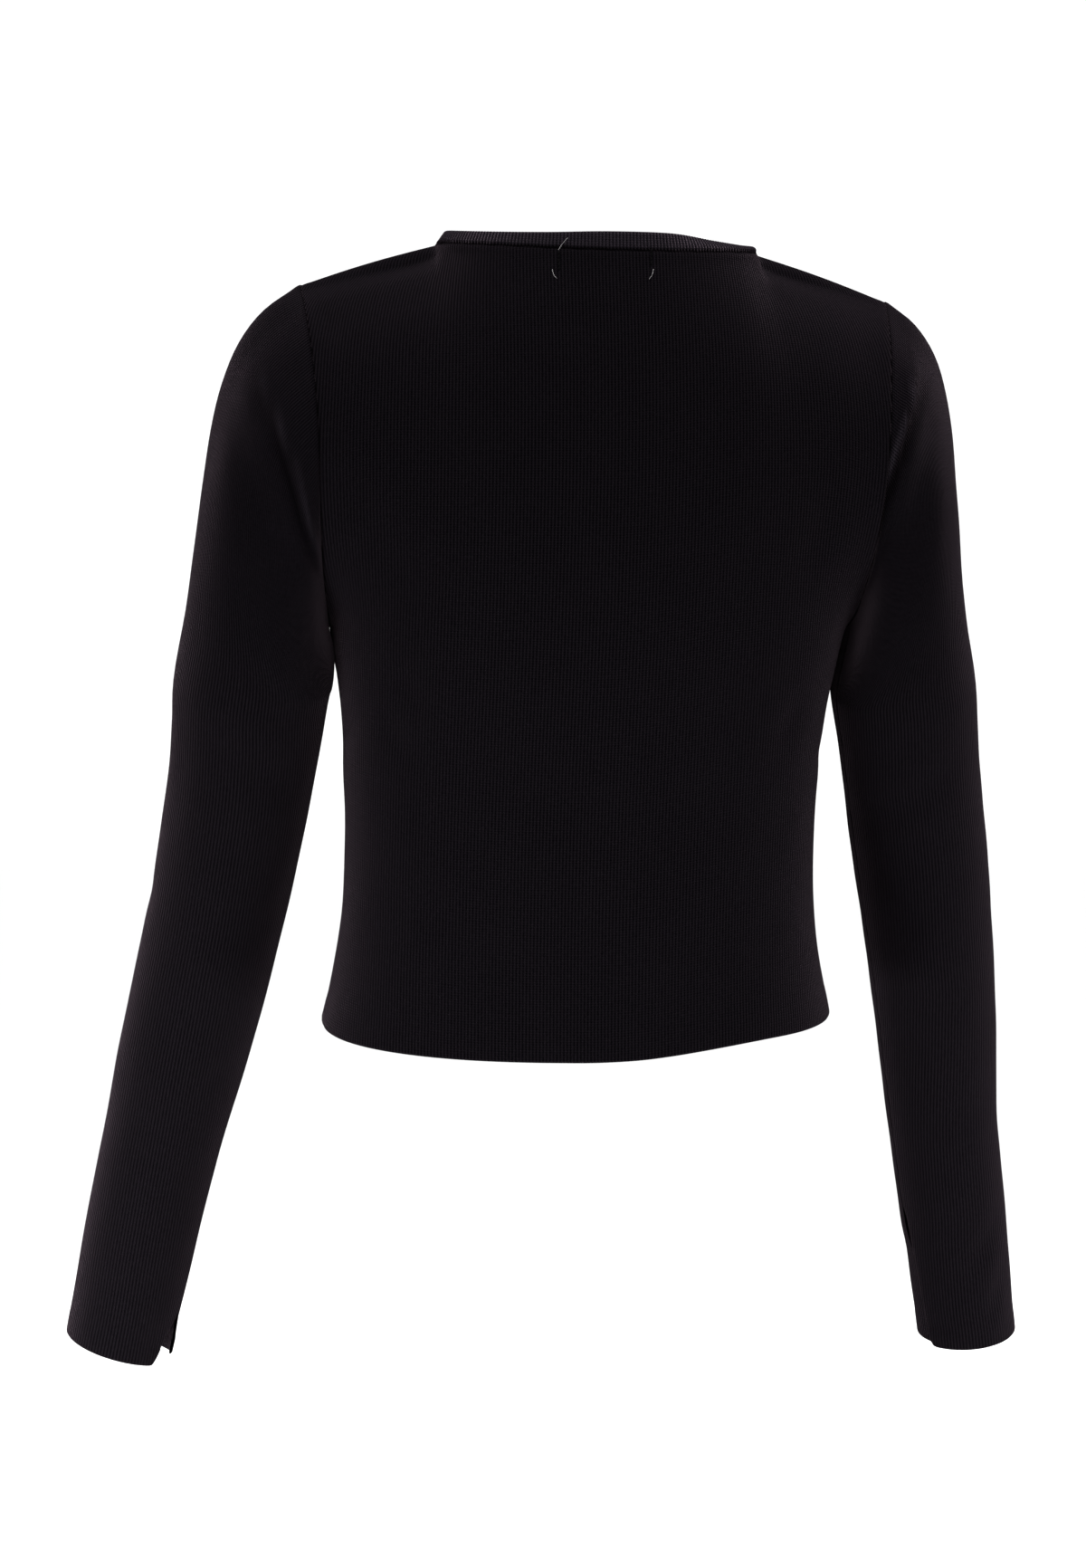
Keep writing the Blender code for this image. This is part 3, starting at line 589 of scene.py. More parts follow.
# The threads' radii, and the sizes of what they sew
CLEAR_OF_CLOTH = 0.00002
BUTTON_THREAD = 0.00028
BUTTON_ARCH = 0.00045
BUTTON_ARCH_SINK = 0.0003
BUTTONHOLE_THREAD = 0.00032
BUTTONHOLE_REACH = 0.0074
BUTTONHOLE_HALF_WIDTH = 0.0012
BUTTONHOLE_DROP = 0.0006
LABEL_THREAD = 0.00042
LABEL_ARCH = 0.00036
LOOSE_THREAD = 0.00010
LOOSE_START = 0.0004
LOOSE_RISES = (0.0014, 0.0005, 0.0005)
HEM_THREAD = 0.00016
HEM_STITCH_STEP = 0.0036
HEM_STITCH_LENGTH = 0.0022
HEM_STITCHES_START = 0.003
HEM_STITCHES_STOP = 0.004
HEM_ARCH = 0.00012
HEM_ARCH_SINK = 0.00020
LINKING_RADIUS = 0.0012
LINKING_DEPTHS = (-0.0002, 0.0017)
# In the photograph's pixels: each label bar's place across, its top and its bottom, the length of one of
# its stitches, and the points that each loose thread end runs through
LABEL_BARS = ((617.5, 277.5, 299.0), (719.5, 275.0, 293.0))
LABEL_STITCH = 4.4
LOOSE_ENDS = (
    ((617.0, 276.5), (620.0, 272.0), (623.5, 268.0), (627.5, 263.5)),
    ((610.5, 298.0), (611.2, 302.0), (613.0, 305.5), (615.5, 308.5)),
    ((721.8, 297.5), (721.0, 302.0), (719.2, 305.8), (716.8, 309.0)),
)
# The button, with ways across in button radii and heights in its thicknesses: the dish, the swell of its
# rim, the four holes, the ends of the thread in them, and the rim's outer section
BUTTON_SIDES = 56
DISH_HEIGHT = 0.60
RIM_SWELL = 0.36
RIM_PLACE = 0.82
RIM_WIDTH = 0.13
HOLE_DEPTH = 0.45
HOLE_SLOPE = 0.05
THREAD_REACH = 0.24
THREAD_HEIGHT = 0.62
HOLE_PLACE = 0.20
HOLE_RADIUS = 0.075
BUTTON_RIM = ((1.0, 0.55), (1.0, 0.32), (0.93, 0.06), (0.86, 0.0), (0.0001, 0.0))

# Soft creases: which way the cloth faces there (1 back, 2 front, 3 left, 4 right), the two ends, the width
# and the depth, where a trough is negative. Across is x on the back and front, and y on the sides.
CREASES = table("facing across_a z_a across_b z_b width depth", [
    (1, 0.093, -0.2, 0.09, -0.3, 0.012, 0.001),
    (1, 0.07, -0.21, 0.073, -0.33, 0.013, -0.0008),
    (1, -0.085, -0.24, -0.08, -0.35, 0.012, 0.0009),
    (1, -0.06, -0.19, -0.065, -0.3, 0.014, -0.0008),
    (1, 0.02, -0.29, 0.015, -0.42, 0.018, -0.0008),
    (1, -0.025, -0.33, -0.02, -0.44, 0.016, 0.0007),
    (1, 0.118, -0.235, 0.102, -0.262, 0.006, -0.0014),
    (1, 0.123, -0.262, 0.106, -0.29, 0.006, -0.0012),
    (1, -0.112, -0.25, -0.099, -0.28, 0.006, -0.0011),
    (1, 0.129, -0.15, 0.108, -0.205, 0.009, -0.0013),
    (1, -0.127, -0.13, -0.108, -0.19, 0.01, -0.0013),
    (1, 0.1, -0.045, 0.07, -0.07, 0.01, -0.0006),
    (1, 0.156, -0.036, 0.149, -0.058, 0.005, -0.001),
    (2, 0.12, -0.17, 0.082, -0.215, 0.011, -0.0016),
    (2, -0.12, -0.165, -0.08, -0.205, 0.011, -0.0015),
    (2, 0.115, -0.235, 0.09, -0.275, 0.008, -0.0011),
    (2, -0.114, -0.24, -0.09, -0.285, 0.008, -0.0011),
    (2, 0.062, -0.235, 0.068, -0.38, 0.013, 0.001),
    (2, -0.06, -0.24, -0.069, -0.385, 0.013, 0.001),
    (2, 0.035, -0.3, 0.039, -0.42, 0.012, -0.0008),
    (2, -0.036, -0.29, -0.04, -0.415, 0.012, -0.0008),
    (3, -0.03, -0.285, 0.005, -0.265, 0.008, -0.0009),
    (3, -0.03, -0.226, 0.02, -0.222, 0.012, 0.0012),
    (4, -0.028, -0.275, 0.004, -0.292, 0.008, -0.0009),
])
# The same on the arms, where across is measured from the arm's middle line.
ARM_CREASES = table("side facing across_a z_a across_b z_b width depth", [
    (1, 1, 0.016, -0.15, 0.002, -0.262, 0.012, -0.001),
    (1, 4, -0.02, -0.215, 0.022, -0.236, 0.016, 0.0016),
    (1, 1, 0.026, -0.275, -0.026, -0.312, 0.008, -0.001),
    (1, 1, 0.02, -0.42, -0.02, -0.396, 0.01, 0.0009),
    (1, 1, -0.024, -0.455, 0.006, -0.5, 0.008, -0.0008),
    (1, 1, 0.004, -0.52, 0.01, -0.61, 0.007, 0.0007),
    (1, 2, 0.028, -0.3, -0.028, -0.345, 0.008, -0.002),
    (1, 2, 0.026, -0.345, -0.028, -0.375, 0.008, -0.0018),
    (1, 2, 0.024, -0.4, -0.02, -0.408, 0.009, -0.0012),
    (1, 2, 0.01, -0.15, 0.022, -0.24, 0.011, -0.0018),
    (1, 2, -0.016, -0.5, 0.014, -0.56, 0.008, -0.0009),
    (1, 3, -0.03, -0.34, 0.014, -0.372, 0.009, -0.001),
    (-1, 1, -0.012, -0.14, 0.01, -0.258, 0.01, -0.0015),
    (-1, 1, -0.026, -0.29, 0.024, -0.325, 0.008, -0.001),
    (-1, 1, -0.02, -0.43, 0.018, -0.404, 0.01, 0.0008),
    (-1, 1, -0.026, -0.556, 0.004, -0.6, 0.006, -0.0013),
    (-1, 1, -0.028, -0.585, -0.008, -0.622, 0.005, -0.0011),
    (-1, 2, -0.028, -0.31, 0.028, -0.35, 0.008, -0.002),
    (-1, 2, -0.026, -0.352, 0.026, -0.384, 0.008, -0.0017),
    (-1, 2, -0.022, -0.412, 0.02, -0.402, 0.009, -0.0012),
    (-1, 2, -0.01, -0.145, -0.022, -0.235, 0.011, -0.0018),
    (-1, 2, 0.014, -0.505, -0.014, -0.566, 0.008, -0.0009),
    (-1, 4, -0.032, -0.35, 0.012, -0.378, 0.009, -0.001),
])
# The sharp edge of the fold down the back of each sleeve.
FOLD_EDGES = table("side z x height width", [
    (1, -0.066, 0.1945, 0, 0.0022),
    (1, -0.094, 0.185, 0.0012, 0.0022),
    (1, -0.124, 0.1745, 0.0022, 0.0022),
    (1, -0.153, 0.167, 0.0022, 0.0022),
    (1, -0.178, 0.1582, 0.0012, 0.0022),
    (1, -0.2, 0.15, 0, 0.0022),
    (-1, -0.058, 0.1805, 0, 0.0024),
    (-1, -0.08, 0.1738, 0.0022, 0.0024),
    (-1, -0.1, 0.166, 0.0034, 0.0024),
    (-1, -0.117, 0.1602, 0.0034, 0.0024),
    (-1, -0.146, 0.152, 0.0026, 0.0022),
    (-1, -0.172, 0.1475, 0, 0.0022),
])
# The slit at each cuff: its length, then, in columns of the sleeve's rings, how far its near edge is drawn
# back at the cuff, how much further at the rounded corner and how far the other edge reaches under it. A
# lower power opens it sooner. Then how much shorter the other edge is, how far it is tucked inward, and
# how strong the painted shadow is on the far flap beside it.
CUFF_SLITS = table("side length near power corner under shorter tuck dark", [
    (1, 0.029, 2.7, 0.45, 0.2, 0, 0.0042, -0.0012, 0.8),
    (-1, 0.085, 1.4, 0.45, 0.6, 2, 0.001, 0.0027, 0),
])
FACING_WAYS = {
    1: (np.array([0.0, 1.0, 0.0]), 0),
    2: (np.array([0.0, -1.0, 0.0]), 0),
    3: (np.array([1.0, 0.0, 0.0]), 1),
    4: (np.array([-1.0, 0.0, 0.0]), 1),
}


def creased(points, normals, source, free, middle=0.0):
    """The points with the table's soft troughs and ridges, where they are free of a seam. Across is counted
    from the middle."""
    lift = np.zeros(points.shape[:2])
    place = points - middle
    for k in range(len(source["facing"])):
        row = {key: value[k] for key, value in source.items()}
        way, axis = FACING_WAYS[int(row["facing"])]
        start = np.array([row["across_a"], row["z_a"]])
        end = np.array([row["across_b"], row["z_b"]])
        here = np.stack([place[..., axis], points[..., 2]], axis=-1)
        length = np.linalg.norm(end - start)
        along = ((here - start) @ (end - start)) / length**2
        side = np.abs((here - start) @ np.array([start[1] - end[1], end[0] - start[0]])) / length
        ends = ease((along + 0.15) / 0.5) * ease((1.15 - along) / 0.5)
        lift += row["depth"] * bell(side / row["width"]) * ends * ease(((normals @ way) - 0.1) / 0.6)
    return points + normals * (lift * free)[..., None]


def fold_edge(points, normals, mirror, free):
    """The points with the fold's sharp edge, which rises slowly from the seam and falls off steeply
    outside, and the painted shade there: a painted highlight along the crest, a painted shadow outside it."""
    off, height = fold_at(points, one_side(FOLD_EDGES, mirror), mirror)
    inner = np.exp(np.minimum(off, 0) / 4.5)
    outer = bell(off) - 0.5 * bell((off - 2.2) / 1.2) * np.minimum(off, 1)
    lift = np.where(off < 0, inner, outer) * height * ease((normals[..., 1] - 0.1) / 0.5) * free
    # Painted shadow in the trough outside the fold and painted highlight along its crest, on the sleeve's
    # back only
    shade = 1 - height / FOLD_HEIGHT * 0.6 * bell((off - 1.9) / 1.3)
    shade += height / FOLD_HEIGHT * 1.6 * bell((off + 0.1) / 0.6)
    return points + normals * lift[..., None], 1 + (shade - 1) * (normals[..., 1] > 0)


def uneven(points, normals, free):
    """A slight unevenness all over, as worn knit has."""
    x, y, z = (points[..., axis] for axis in range(3))
    wave = np.sin(61 * x + 23 * z + 0.7) * np.sin(47 * z - 31 * y + 1.4)
    wave += 0.6 * np.sin(118 * z + 83 * x - 0.7) * np.sin(97 * y + 71 * x + 2.1)
    return points + normals * (UNEVENNESS * wave * free)[..., None]


def stations(count, steps):
    """Places along a grid's rows or columns, steps to each coarse one, closer together at both ends."""
    inner = np.linspace(0, count - 1, (count - 1) * steps + 1)
    near = np.array([0.03, 0.06, 0.10, 0.15, 0.21, 0.30, 0.40])
    return np.unique(np.round(np.concatenate([inner, near, count - 1 - near]), 5))


def smooth_parts(values, at, cuts):
    """Values at whole keys read smoothly at others, with a corner left at each cut."""
    ends = [0, *cuts, len(values) - 1]
    found = np.zeros((len(at), values.reshape(len(values), -1).shape[1]))
    for start, stop in zip(ends[:-1], ends[1:]):
        inside = (at >= start) & (at <= stop)
        found[inside] = smooth(np.arange(start, stop + 1), values[start : stop + 1], at[inside])
    return found


def refined(grid, rows, columns, row_cut=None, column_cuts=()):
    """The grid read smoothly at finer rows and columns, with corners left at the cuts."""
    n, m = grid.shape[:2]
    tall = smooth(np.arange(n), grid.reshape(n, -1), rows).reshape(len(rows), m, 3)
    if row_cut:
        for column, share in ((0, 1.0), (1, 0.35), (m - 2, 0.35), (m - 1, 1.0)):
            corner = smooth_parts(grid[:, column], rows, (row_cut,))
            tall[:, column] += (corner - tall[:, column]) * share
    wide = tall.transpose(1, 0, 2).reshape(m, -1)
    size = (len(columns), len(rows), 3)
    found = smooth(np.arange(m), wide, columns).reshape(size).transpose(1, 0, 2)
    if column_cuts:
        corner = smooth_parts(wide, columns, column_cuts).reshape(size).transpose(1, 0, 2)
        found = found + (corner - found) * ease((rows - (n - 2.4)) / 1.4)[:, None, None]
    return found


def armhole_edge(grids, name, edge, at):
    """Points of the body's edge round an armhole, from the shoulder down the back and up the front."""
    back, front = grids["back"][:, edge], grids[name][:, 0]
    at = at % (2 * ROWS_BESIDE_ARM)
    behind = smooth_parts(back, len(back) - 1 - np.minimum(at, ROWS_BESIDE_ARM), (ROWS_BELOW_ARM,))
    ahead = smooth_parts(front, ROWS_BELOW_ARM + np.maximum(at - ROWS_BESIDE_ARM, 0), (ROWS_BELOW_ARM,))
    return np.where((at <= ROWS_BESIDE_ARM)[:, None], behind, ahead)


def lengths_along(grid, axis):
    """The distance walked along each row (axis 1) or column (axis 0) of a grid, or along a line (axis 0)."""
    steps = np.linalg.norm(np.diff(grid, axis=axis), axis=-1)
    zero = np.zeros_like(np.take(steps, [0], axis=axis))
    return np.concatenate([zero, np.cumsum(steps, axis=axis)], axis=axis)


def seam_shape(distance):
    """How far cloth sinks right at a seam and rises beside it."""
    groove = -SEAM_GROOVE * bell(distance / SEAM_GROOVE_WIDTH)
    ridge = SEAM_RIDGE * bell((distance - SEAM_RIDGE_PLACE) / SEAM_RIDGE_WIDTH)
    return groove + ridge


def painted_seam_shadow(distance):
    """The painted shadow in a seam: how far the cloth's colour is darkened near it."""
    return 1 - 0.85 * np.exp(-distance / SEAM_SHADOW)


def hem_shape(distance):
    """A turned hem: a little thicker, with a line of stitches pulled in above it."""
    turned = HEM_FULLNESS * ease((HEM_HEIGHT - distance) / HEM_STEP)
    stitched = -HEM_GROOVE * bell((distance - HEM_HEIGHT) / HEM_GROOVE_WIDTH)
    return turned + stitched


def shell(node, grid, normals, seams, hems, uv_origin, material, held=1.0, shade=1.0):
    """A closed fine wall on a panel's form. Seams and hems name its edges: top, low, first or last. Where
    it is held less, its seams are shallow. The shade is painted shade and light in its colour, besides the
    painted shadow along the seams."""
    across = lengths_along(grid, 1)
    up = lengths_along(grid, 0)
    distance = {
        "first": across,
        "last": across[:, -1:] - across,
        "low": up,
        "top": up[-1:] - up,
    }
    lift = np.zeros(grid.shape[:2])
    for edge in seams:
        lift += seam_shape(distance[edge]) * held
    if "top" in seams:
        lift += NECK_GROOVE * bell(distance["top"] / NECK_GROOVE_WIDTH)
    for edge in hems:
        lift += hem_shape(distance[edge])
    outer = grid + normals * lift[..., None]
    inner = grid - normals * WALL
    for edge in hems:
        round_off = np.clip(1 - distance[edge] / ROUNDED_EDGE, 0, 1) ** 2 * WALL * EDGE_ROUNDING
        outer = outer - normals * round_off[..., None]
        inner = inner + normals * round_off[..., None]
    u = across - across[:, uv_origin][:, None]
    # Painted shadow along the seams darkens the colour near them
    to_seam = np.min(np.broadcast_arrays(*(distance[edge] for edge in seams)), axis=0)
    shade = shade * painted_seam_shadow(to_seam)
    cloth_object(node, outer, inner, np.stack([u, up], axis=-1), shade, normals, material)


def grid_faces(rows, columns):
    """The quads of an open grid."""
    first = (np.arange(rows - 1)[:, None] * columns + np.arange(columns - 1)[None, :]).ravel()
    return np.stack([first, first + 1, first + columns + 1, first + columns], axis=1)


def cloth_object(node, outer, inner, uv, shade, normals, material):
    """The shell's object, with its two layers, its rim, its map in metres and its painted shade."""
    faces = grid_faces(*outer.shape[:2])
    layers = (outer.reshape(-1, 3), inner.reshape(-1, 3))
    made = wall(f"knit_{node}", *layers, faces, normals.reshape(-1, 3), material)
    mesh = made.data
    layer = mesh.uv_layers.new(name="UVMap")
    corner = np.empty(len(mesh.loops), dtype=np.int64)
    mesh.loops.foreach_get("vertex_index", corner)
    both = np.concatenate([uv.reshape(-1, 2)] * 2)
    layer.data.foreach_set("uv", both[corner].astype(np.float32).ravel())
    # The painted shade: a per-point attribute that scales the knit's base colour
    shades = mesh.attributes.new("shade", "FLOAT", "POINT")
    one_layer = np.broadcast_to(shade, uv.shape[:2]).ravel()
    shades.data.foreach_set("value", np.concatenate([one_layer] * 2).astype(np.float32))
    finish_piece(made, node)


def finish_piece(made, node=None):
    """Makes a piece ride on the garment and stand in for its solid, if any."""
    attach(made, "root")
    if node:
        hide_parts(node)


def placed(name, data):
    """A new object in the scene."""
    made = bpy.data.objects.new(name, data)
    bpy.context.scene.collection.objects.link(made)
    return made


def make_object(name, points, faces, material):
    """One smooth mesh object."""
    mesh = bpy.data.meshes.new(name)
    mesh.from_pydata(np.asarray(points, float).tolist(), [], [tuple(map(int, face)) for face in faces])
    mesh.shade_smooth()
    mesh.materials.append(material)
    return placed(name, mesh)


def wall(name, outer, inner, faces, outward, material):
    """A closed wall between two layers of points that share the same faces."""
    a, b, c = (outer[faces[:, k]] for k in range(3))
    if (np.cross(b - a, c - a) * outward[faces[:, 0]]).sum() < 0:
        faces = faces[:, ::-1]
    count = len(outer)
    starts = faces.ravel()
    ends = np.roll(faces, -1, axis=1).ravel()
    lone = ~np.isin(ends * count + starts, starts * count + ends)
    rim = np.stack([ends, starts, starts + count, ends + count], axis=1)[lone]
    all_faces = np.concatenate([faces, faces[:, ::-1] + count, rim])
    return make_object(name, np.concatenate([outer, inner]), all_faces, material)


def project(points):
    """Where points fall in the photograph, in pixels."""
    away = points - EYE
    depth = -(away @ BACK_WAY)
    across = FRAME_WIDTH / 2 + (away @ RIGHT_WAY) / depth * FOCAL_PIXELS
    down = FRAME_HEIGHT / 2 - away[..., 2] / depth * FOCAL_PIXELS
    return np.stack([across, down], axis=-1)


def on_cloth(pixel, grid, normals):
    """The point of a grid that shows at a pixel, and its normal."""
    seen = project(grid)
    nearest = np.linalg.norm(seen - np.array(pixel), axis=-1)
    nearest[(normals @ BACK_WAY) < 0] = 1e9
    r, c = np.unravel_index(nearest.argmin(), nearest.shape)
    point, normal = grid[r, c], normals[r, c]
    depth = -((point - EYE) @ BACK_WAY)
    offset = (np.array(pixel) - seen[r, c]) * depth / FOCAL_PIXELS
    moved = point + RIGHT_WAY * offset[0] - np.array([0.0, 0.0, 1.0]) * offset[1]
    return moved - BACK_WAY * ((moved - point) @ normal) / (normal @ BACK_WAY), normal


def ring_faces(rings, count):
    """The quads between rings of points that follow one another."""
    faces = []
    for r in range(rings - 1):
        low, high = r * count, (r + 1) * count
        for k in range(count):
            near = (k + 1) % count
            faces.append((low + k, low + near, high + near, high + k))
    return faces


def tube(points, radius, sides=8, taper=1.0, beside=(0.31, 0.84, 0.44)):
    """Points and faces of a round thread along a path, closed at both ends. The way beside it never runs
    along it."""
    points = np.asarray(points, float)
    along = unit(np.gradient(points, axis=0))
    first = unit(np.cross(along, np.array(beside)))
    second = np.cross(along, first)
    turn = 2 * math.pi * np.arange(sides) / sides
    size = np.linspace(1, taper, len(points)) * radius
    ring = np.cos(turn)[None, :, None] * first[:, None] + np.sin(turn)[None, :, None] * second[:, None]
    body = (points[:, None] + ring * size[:, None, None]).reshape(-1, 3)
    last = (len(points) - 1) * sides
    faces = ring_faces(len(points), sides)
    faces.append(tuple(range(sides))[::-1])
    faces.append(tuple(range(last, last + sides)))
    return body, faces


def joined(name, pieces, material):
    """One finished piece from several tubes' points and faces."""
    points, faces = [], []
    for body, some in pieces:
        start = sum(len(p) for p in points)
        points.append(body)
        faces.extend(tuple(start + k for k in face) for face in some)
    finish_piece(make_object(name, np.concatenate(points), faces, material))


class Nodes:
    """A short way to write a material's nodes."""

    def __init__(self, name):
        self.material = bpy.data.materials.new(name)
        self.material.use_nodes = True
        self.tree = self.material.node_tree
        self.shader = self.tree.nodes["Principled BSDF"]

    def add(self, kind, **values):
        node = self.tree.nodes.new(kind)
        for key, value in values.items():
            setattr(node, key, value)
        return node

    def link(self, source, target):
        self.tree.links.new(source, target)

    def math(self, operation, first, second=None, third=None):
        node = self.add("ShaderNodeMath", operation=operation)
        for socket, value in zip(node.inputs, (first, second, third)):
            if value is None:
                continue
            if isinstance(value, (int, float)):
                socket.default_value = value
            else:
                self.link(value, socket)
        return node.outputs[0]

    def noise(self, scale, detail=3.0, roughness=0.55):
        texture = self.add("ShaderNodeTexNoise")
        coordinates = self.add("ShaderNodeTexCoord")
        self.link(coordinates.outputs["Object"], texture.inputs["Vector"])
        texture.inputs["Scale"].default_value = scale
        texture.inputs["Detail"].default_value = detail
        texture.inputs["Roughness"].default_value = roughness
        return texture.outputs[0]

    def bump(self, height, strength, distance):
        node = self.add("ShaderNodeBump")
        node.inputs["Strength"].default_value = strength
        node.inputs["Distance"].default_value = distance
        self.link(height, node.inputs["Height"])
        self.link(node.outputs[0], self.shader.inputs["Normal"])

    def ramp(self, share, dark, light, low=0.0, high=1.0):
        node = self.add("ShaderNodeValToRGB")
        for element, colour, place in zip(node.color_ramp.elements, (dark, light), (low, high)):
            element.position = place
            element.color = (*colour, 1)
        self.link(share, node.inputs[0])
        return node.outputs[0]

    def set(self, **values):
        for key, value in values.items():
            self.shader.inputs[key.replace("_", " ")].default_value = value


def knit_looks(name, rib_share, light=1.0):
    """Black rib knit: fine wales with small slanting stitches, fuzz and a soft sheen. Its colour is darker
    in the troughs of its relief, a painted shade, and is scaled by the mesh's painted shade. A light above 1
    makes a lighter copy, painted light.
    """
    m = Nodes(name)
    uv = m.add("ShaderNodeUVMap", uv_map="UVMap")
    parts = m.add("ShaderNodeSeparateXYZ")
    m.link(uv.outputs[0], parts.inputs[0])
    u, v = parts.outputs[0], parts.outputs[1]
    wale = m.math("COSINE", m.math("MULTIPLY", u, 2 * math.pi / RIB_PITCH))
    rib = m.math("MULTIPLY_ADD", wale, 0.5, 0.5)
    slant = m.math("ABSOLUTE", m.math("SINE", m.math("MULTIPLY", u, math.pi / RIB_PITCH)))
    phase = m.math("MULTIPLY_ADD", slant, 2.4, m.math("MULTIPLY", v, 2 * math.pi / STITCH_PITCH))
    stitch = m.math("MULTIPLY_ADD", m.math("COSINE", phase), 0.5, 0.5)
    fuzz = m.noise(FUZZ_SCALE, 2.0)
    patches = m.noise(PATCH_SCALE, 4.0)
    relief = m.math("MULTIPLY_ADD", stitch, STITCH_SHARE, m.math("MULTIPLY", rib, rib_share))
    relief = m.math("MULTIPLY_ADD", fuzz, FUZZ_SHARE, relief)
    m.bump(relief, RELIEF_STRENGTH, RELIEF_DISTANCE)
    # The colour follows the relief, darker in the troughs of the ribs and stitches (painted shade), plus the
    # yarn's own random patches and grain
    shade = m.math("MULTIPLY_ADD", patches, PATCH_SHARE, m.math("MULTIPLY", relief, RELIEF_SHARE))
    shade = m.math("MULTIPLY_ADD", m.noise(GRAIN_SCALE, 2.0), GRAIN_SHARE, shade)
    # Light scales the colours and the sheen: a light above 1 is painted light
    dark, pale = (tuple(c * light for c in colour) for colour in (KNIT_DARK, KNIT_LIGHT))
    colour = m.ramp(shade, dark, pale, 0.26, 0.78)
    # The mesh's painted shade attribute scales the base colour
    shades = m.add("ShaderNodeAttribute", attribute_name="shade")
    shadow = m.add("ShaderNodeVectorMath", operation="SCALE")
    m.link(colour, shadow.inputs[0])
    m.link(shades.outputs["Fac"], shadow.inputs["Scale"])
    m.link(shadow.outputs[0], m.shader.inputs["Base Color"])
    m.set(Roughness=1.0, Metallic=0.0, Specular_IOR_Level=0.0)
    m.set(Sheen_Weight=0.020 * light, Sheen_Roughness=0.36, Sheen_Tint=(1.0, 0.76, 0.91, 1))
    return m.material


def plain_looks(name, colour, roughness, sheen=0.0, gloss=0.5):
    """One colour with a fine grain."""
    m = Nodes(name)
    grain = m.noise(900.0)
    m.bump(grain, 0.25, 0.0002)
    dark, light = (tuple(0.8 * c for c in colour), tuple(min(1, 1.25 * c) for c in colour))
    m.link(m.ramp(grain, dark, light), m.shader.inputs["Base Color"])
    m.set(Roughness=roughness, Metallic=0.0, Sheen_Weight=sheen, Specular_IOR_Level=gloss)
    return m.material


def fine_panels(grids, normals, knit):
    """The back and the two fronts as fine shells."""
    fine = {}
    for name in ("back", "front_left", "front_right"):
        coarse = grids[name].copy()
        n, m = coarse.shape[:2]
        if name != "back":
            coarse[:, -1] += unit(coarse[:, -1] - coarse[:, -2]) * SEAM_GAP
        rows, columns = stations(n, PANEL_STEPS), stations(m, PANEL_STEPS)
        cuts = (COLUMNS_TO_NECK, m - 1 - COLUMNS_TO_NECK) if name == "back" else (COLUMNS_TO_NECK,)
        grid = refined(coarse, rows, columns, ROWS_BELOW_ARM, cuts)
        way = unit(refined(normals[name], rows, columns))
        eased = ((relax(grid, SOFTENING) - grid) * way).sum(axis=-1)
        neck_points = [grid[-1, int(np.argmin(np.abs(columns - cut)))] for cut in cuts]
        away = np.min([np.linalg.norm(grid - point, axis=-1) for point in neck_points], axis=0)
        from_top = (lengths_along(grid, 0)[-1:] - lengths_along(grid, 0)) / EASED_BELOW_TOP
        grid = grid + way * (eased * bell(away / EASED_ROUND_NECK_POINT) * ease(from_top))[..., None]
        across, up = lengths_along(grid, 1), lengths_along(grid, 0)
        to_edge = np.minimum(across, across[:, -1:] - across) if name == "back" else across
        beside = ease((rows - ROWS_BELOW_ARM + 1.5) / 1.5)[:, None]
        free = (1 - beside * (1 - ease(to_edge / SEAM_FADE))) * ease((up[-1:] - up) / SEAM_FADE)
        grid = uneven(creased(grid, way, CREASES, free), way, free)
        origin = len(columns) // 2 if name == "back" else -1
        held = 1 - bell((rows - ROWS_BELOW_ARM) / 1.6)[:, None]
        shell(name, grid, way, ("first", "last", "top"), ("low",), origin, knit, held)
        fine[name] = (grid, way)
    return fine


def slit_edges(grid, way, rows, columns, mirror):
    """The sleeve's fine points, its normals and its painted shade, with its two edges parted at the cuff's
    slit. The far one is tucked under the near one, with a painted shadow beside the near edge and on the far
    flap. The grid starts two columns before the seam and ends two past it."""
    slit = {key: value[0] for key, value in one_side(CUFF_SLITS, mirror).items()}
    count = grid.shape[1] - 5
    dense = np.linspace(0, count + 4, (count + 4) * STEPS_ROUND_SLEEVE + 1)
    points, normals = refined(grid, rows, dense), refined(way, rows, dense)
    to_cuff = lengths_along(points[::-1], 0)[::-1, 2 * STEPS_ROUND_SLEEVE][:, None]
    down_slit = np.clip(1 - to_cuff / slit["length"], 0, 1)
    open_share = ease(down_slit)
    at_corner = np.clip(1 - to_cuff / SLIT_CORNER, 0, 1) ** 2
    near = slit["near"] * down_slit ** slit["power"] + slit["corner"] * at_corner
    beside_far = bell(columns / 2.5)
    at = columns + 2 - near * bell((count - columns) / 5) - slit["under"] * open_share * beside_far
    fine = np.array([between(at[r], dense, points[r]) for r in range(len(rows))])
    turned = unit(np.array([between(at[r], dense, normals[r]) for r in range(len(rows))]))
    # Painted shadow on the far strip where the near edge overlaps it
    shadow_under_edge = bell((at - 2 + near) / 0.14) * (beside_far > 0.01) * ease(down_slit * 8)
    tuck = slit["tuck"] * ease(open_share * 3) * beside_far
    rise = slit["shorter"] * ease(1 - to_cuff / SLIT_DRAWN_BACK) * beside_far
    fine = fine - turned * tuck[..., None] - unit(np.gradient(fine, axis=0)) * rise[..., None]
    # Painted shadow on the far flap, the inner side of the cloth in shade
    flap_shadow = slit["dark"] * bell(columns / 1.5) * ease(down_slit * 4)
    return fine, turned, (1 - 0.9 * shadow_under_edge) * (1 - flap_shadow)


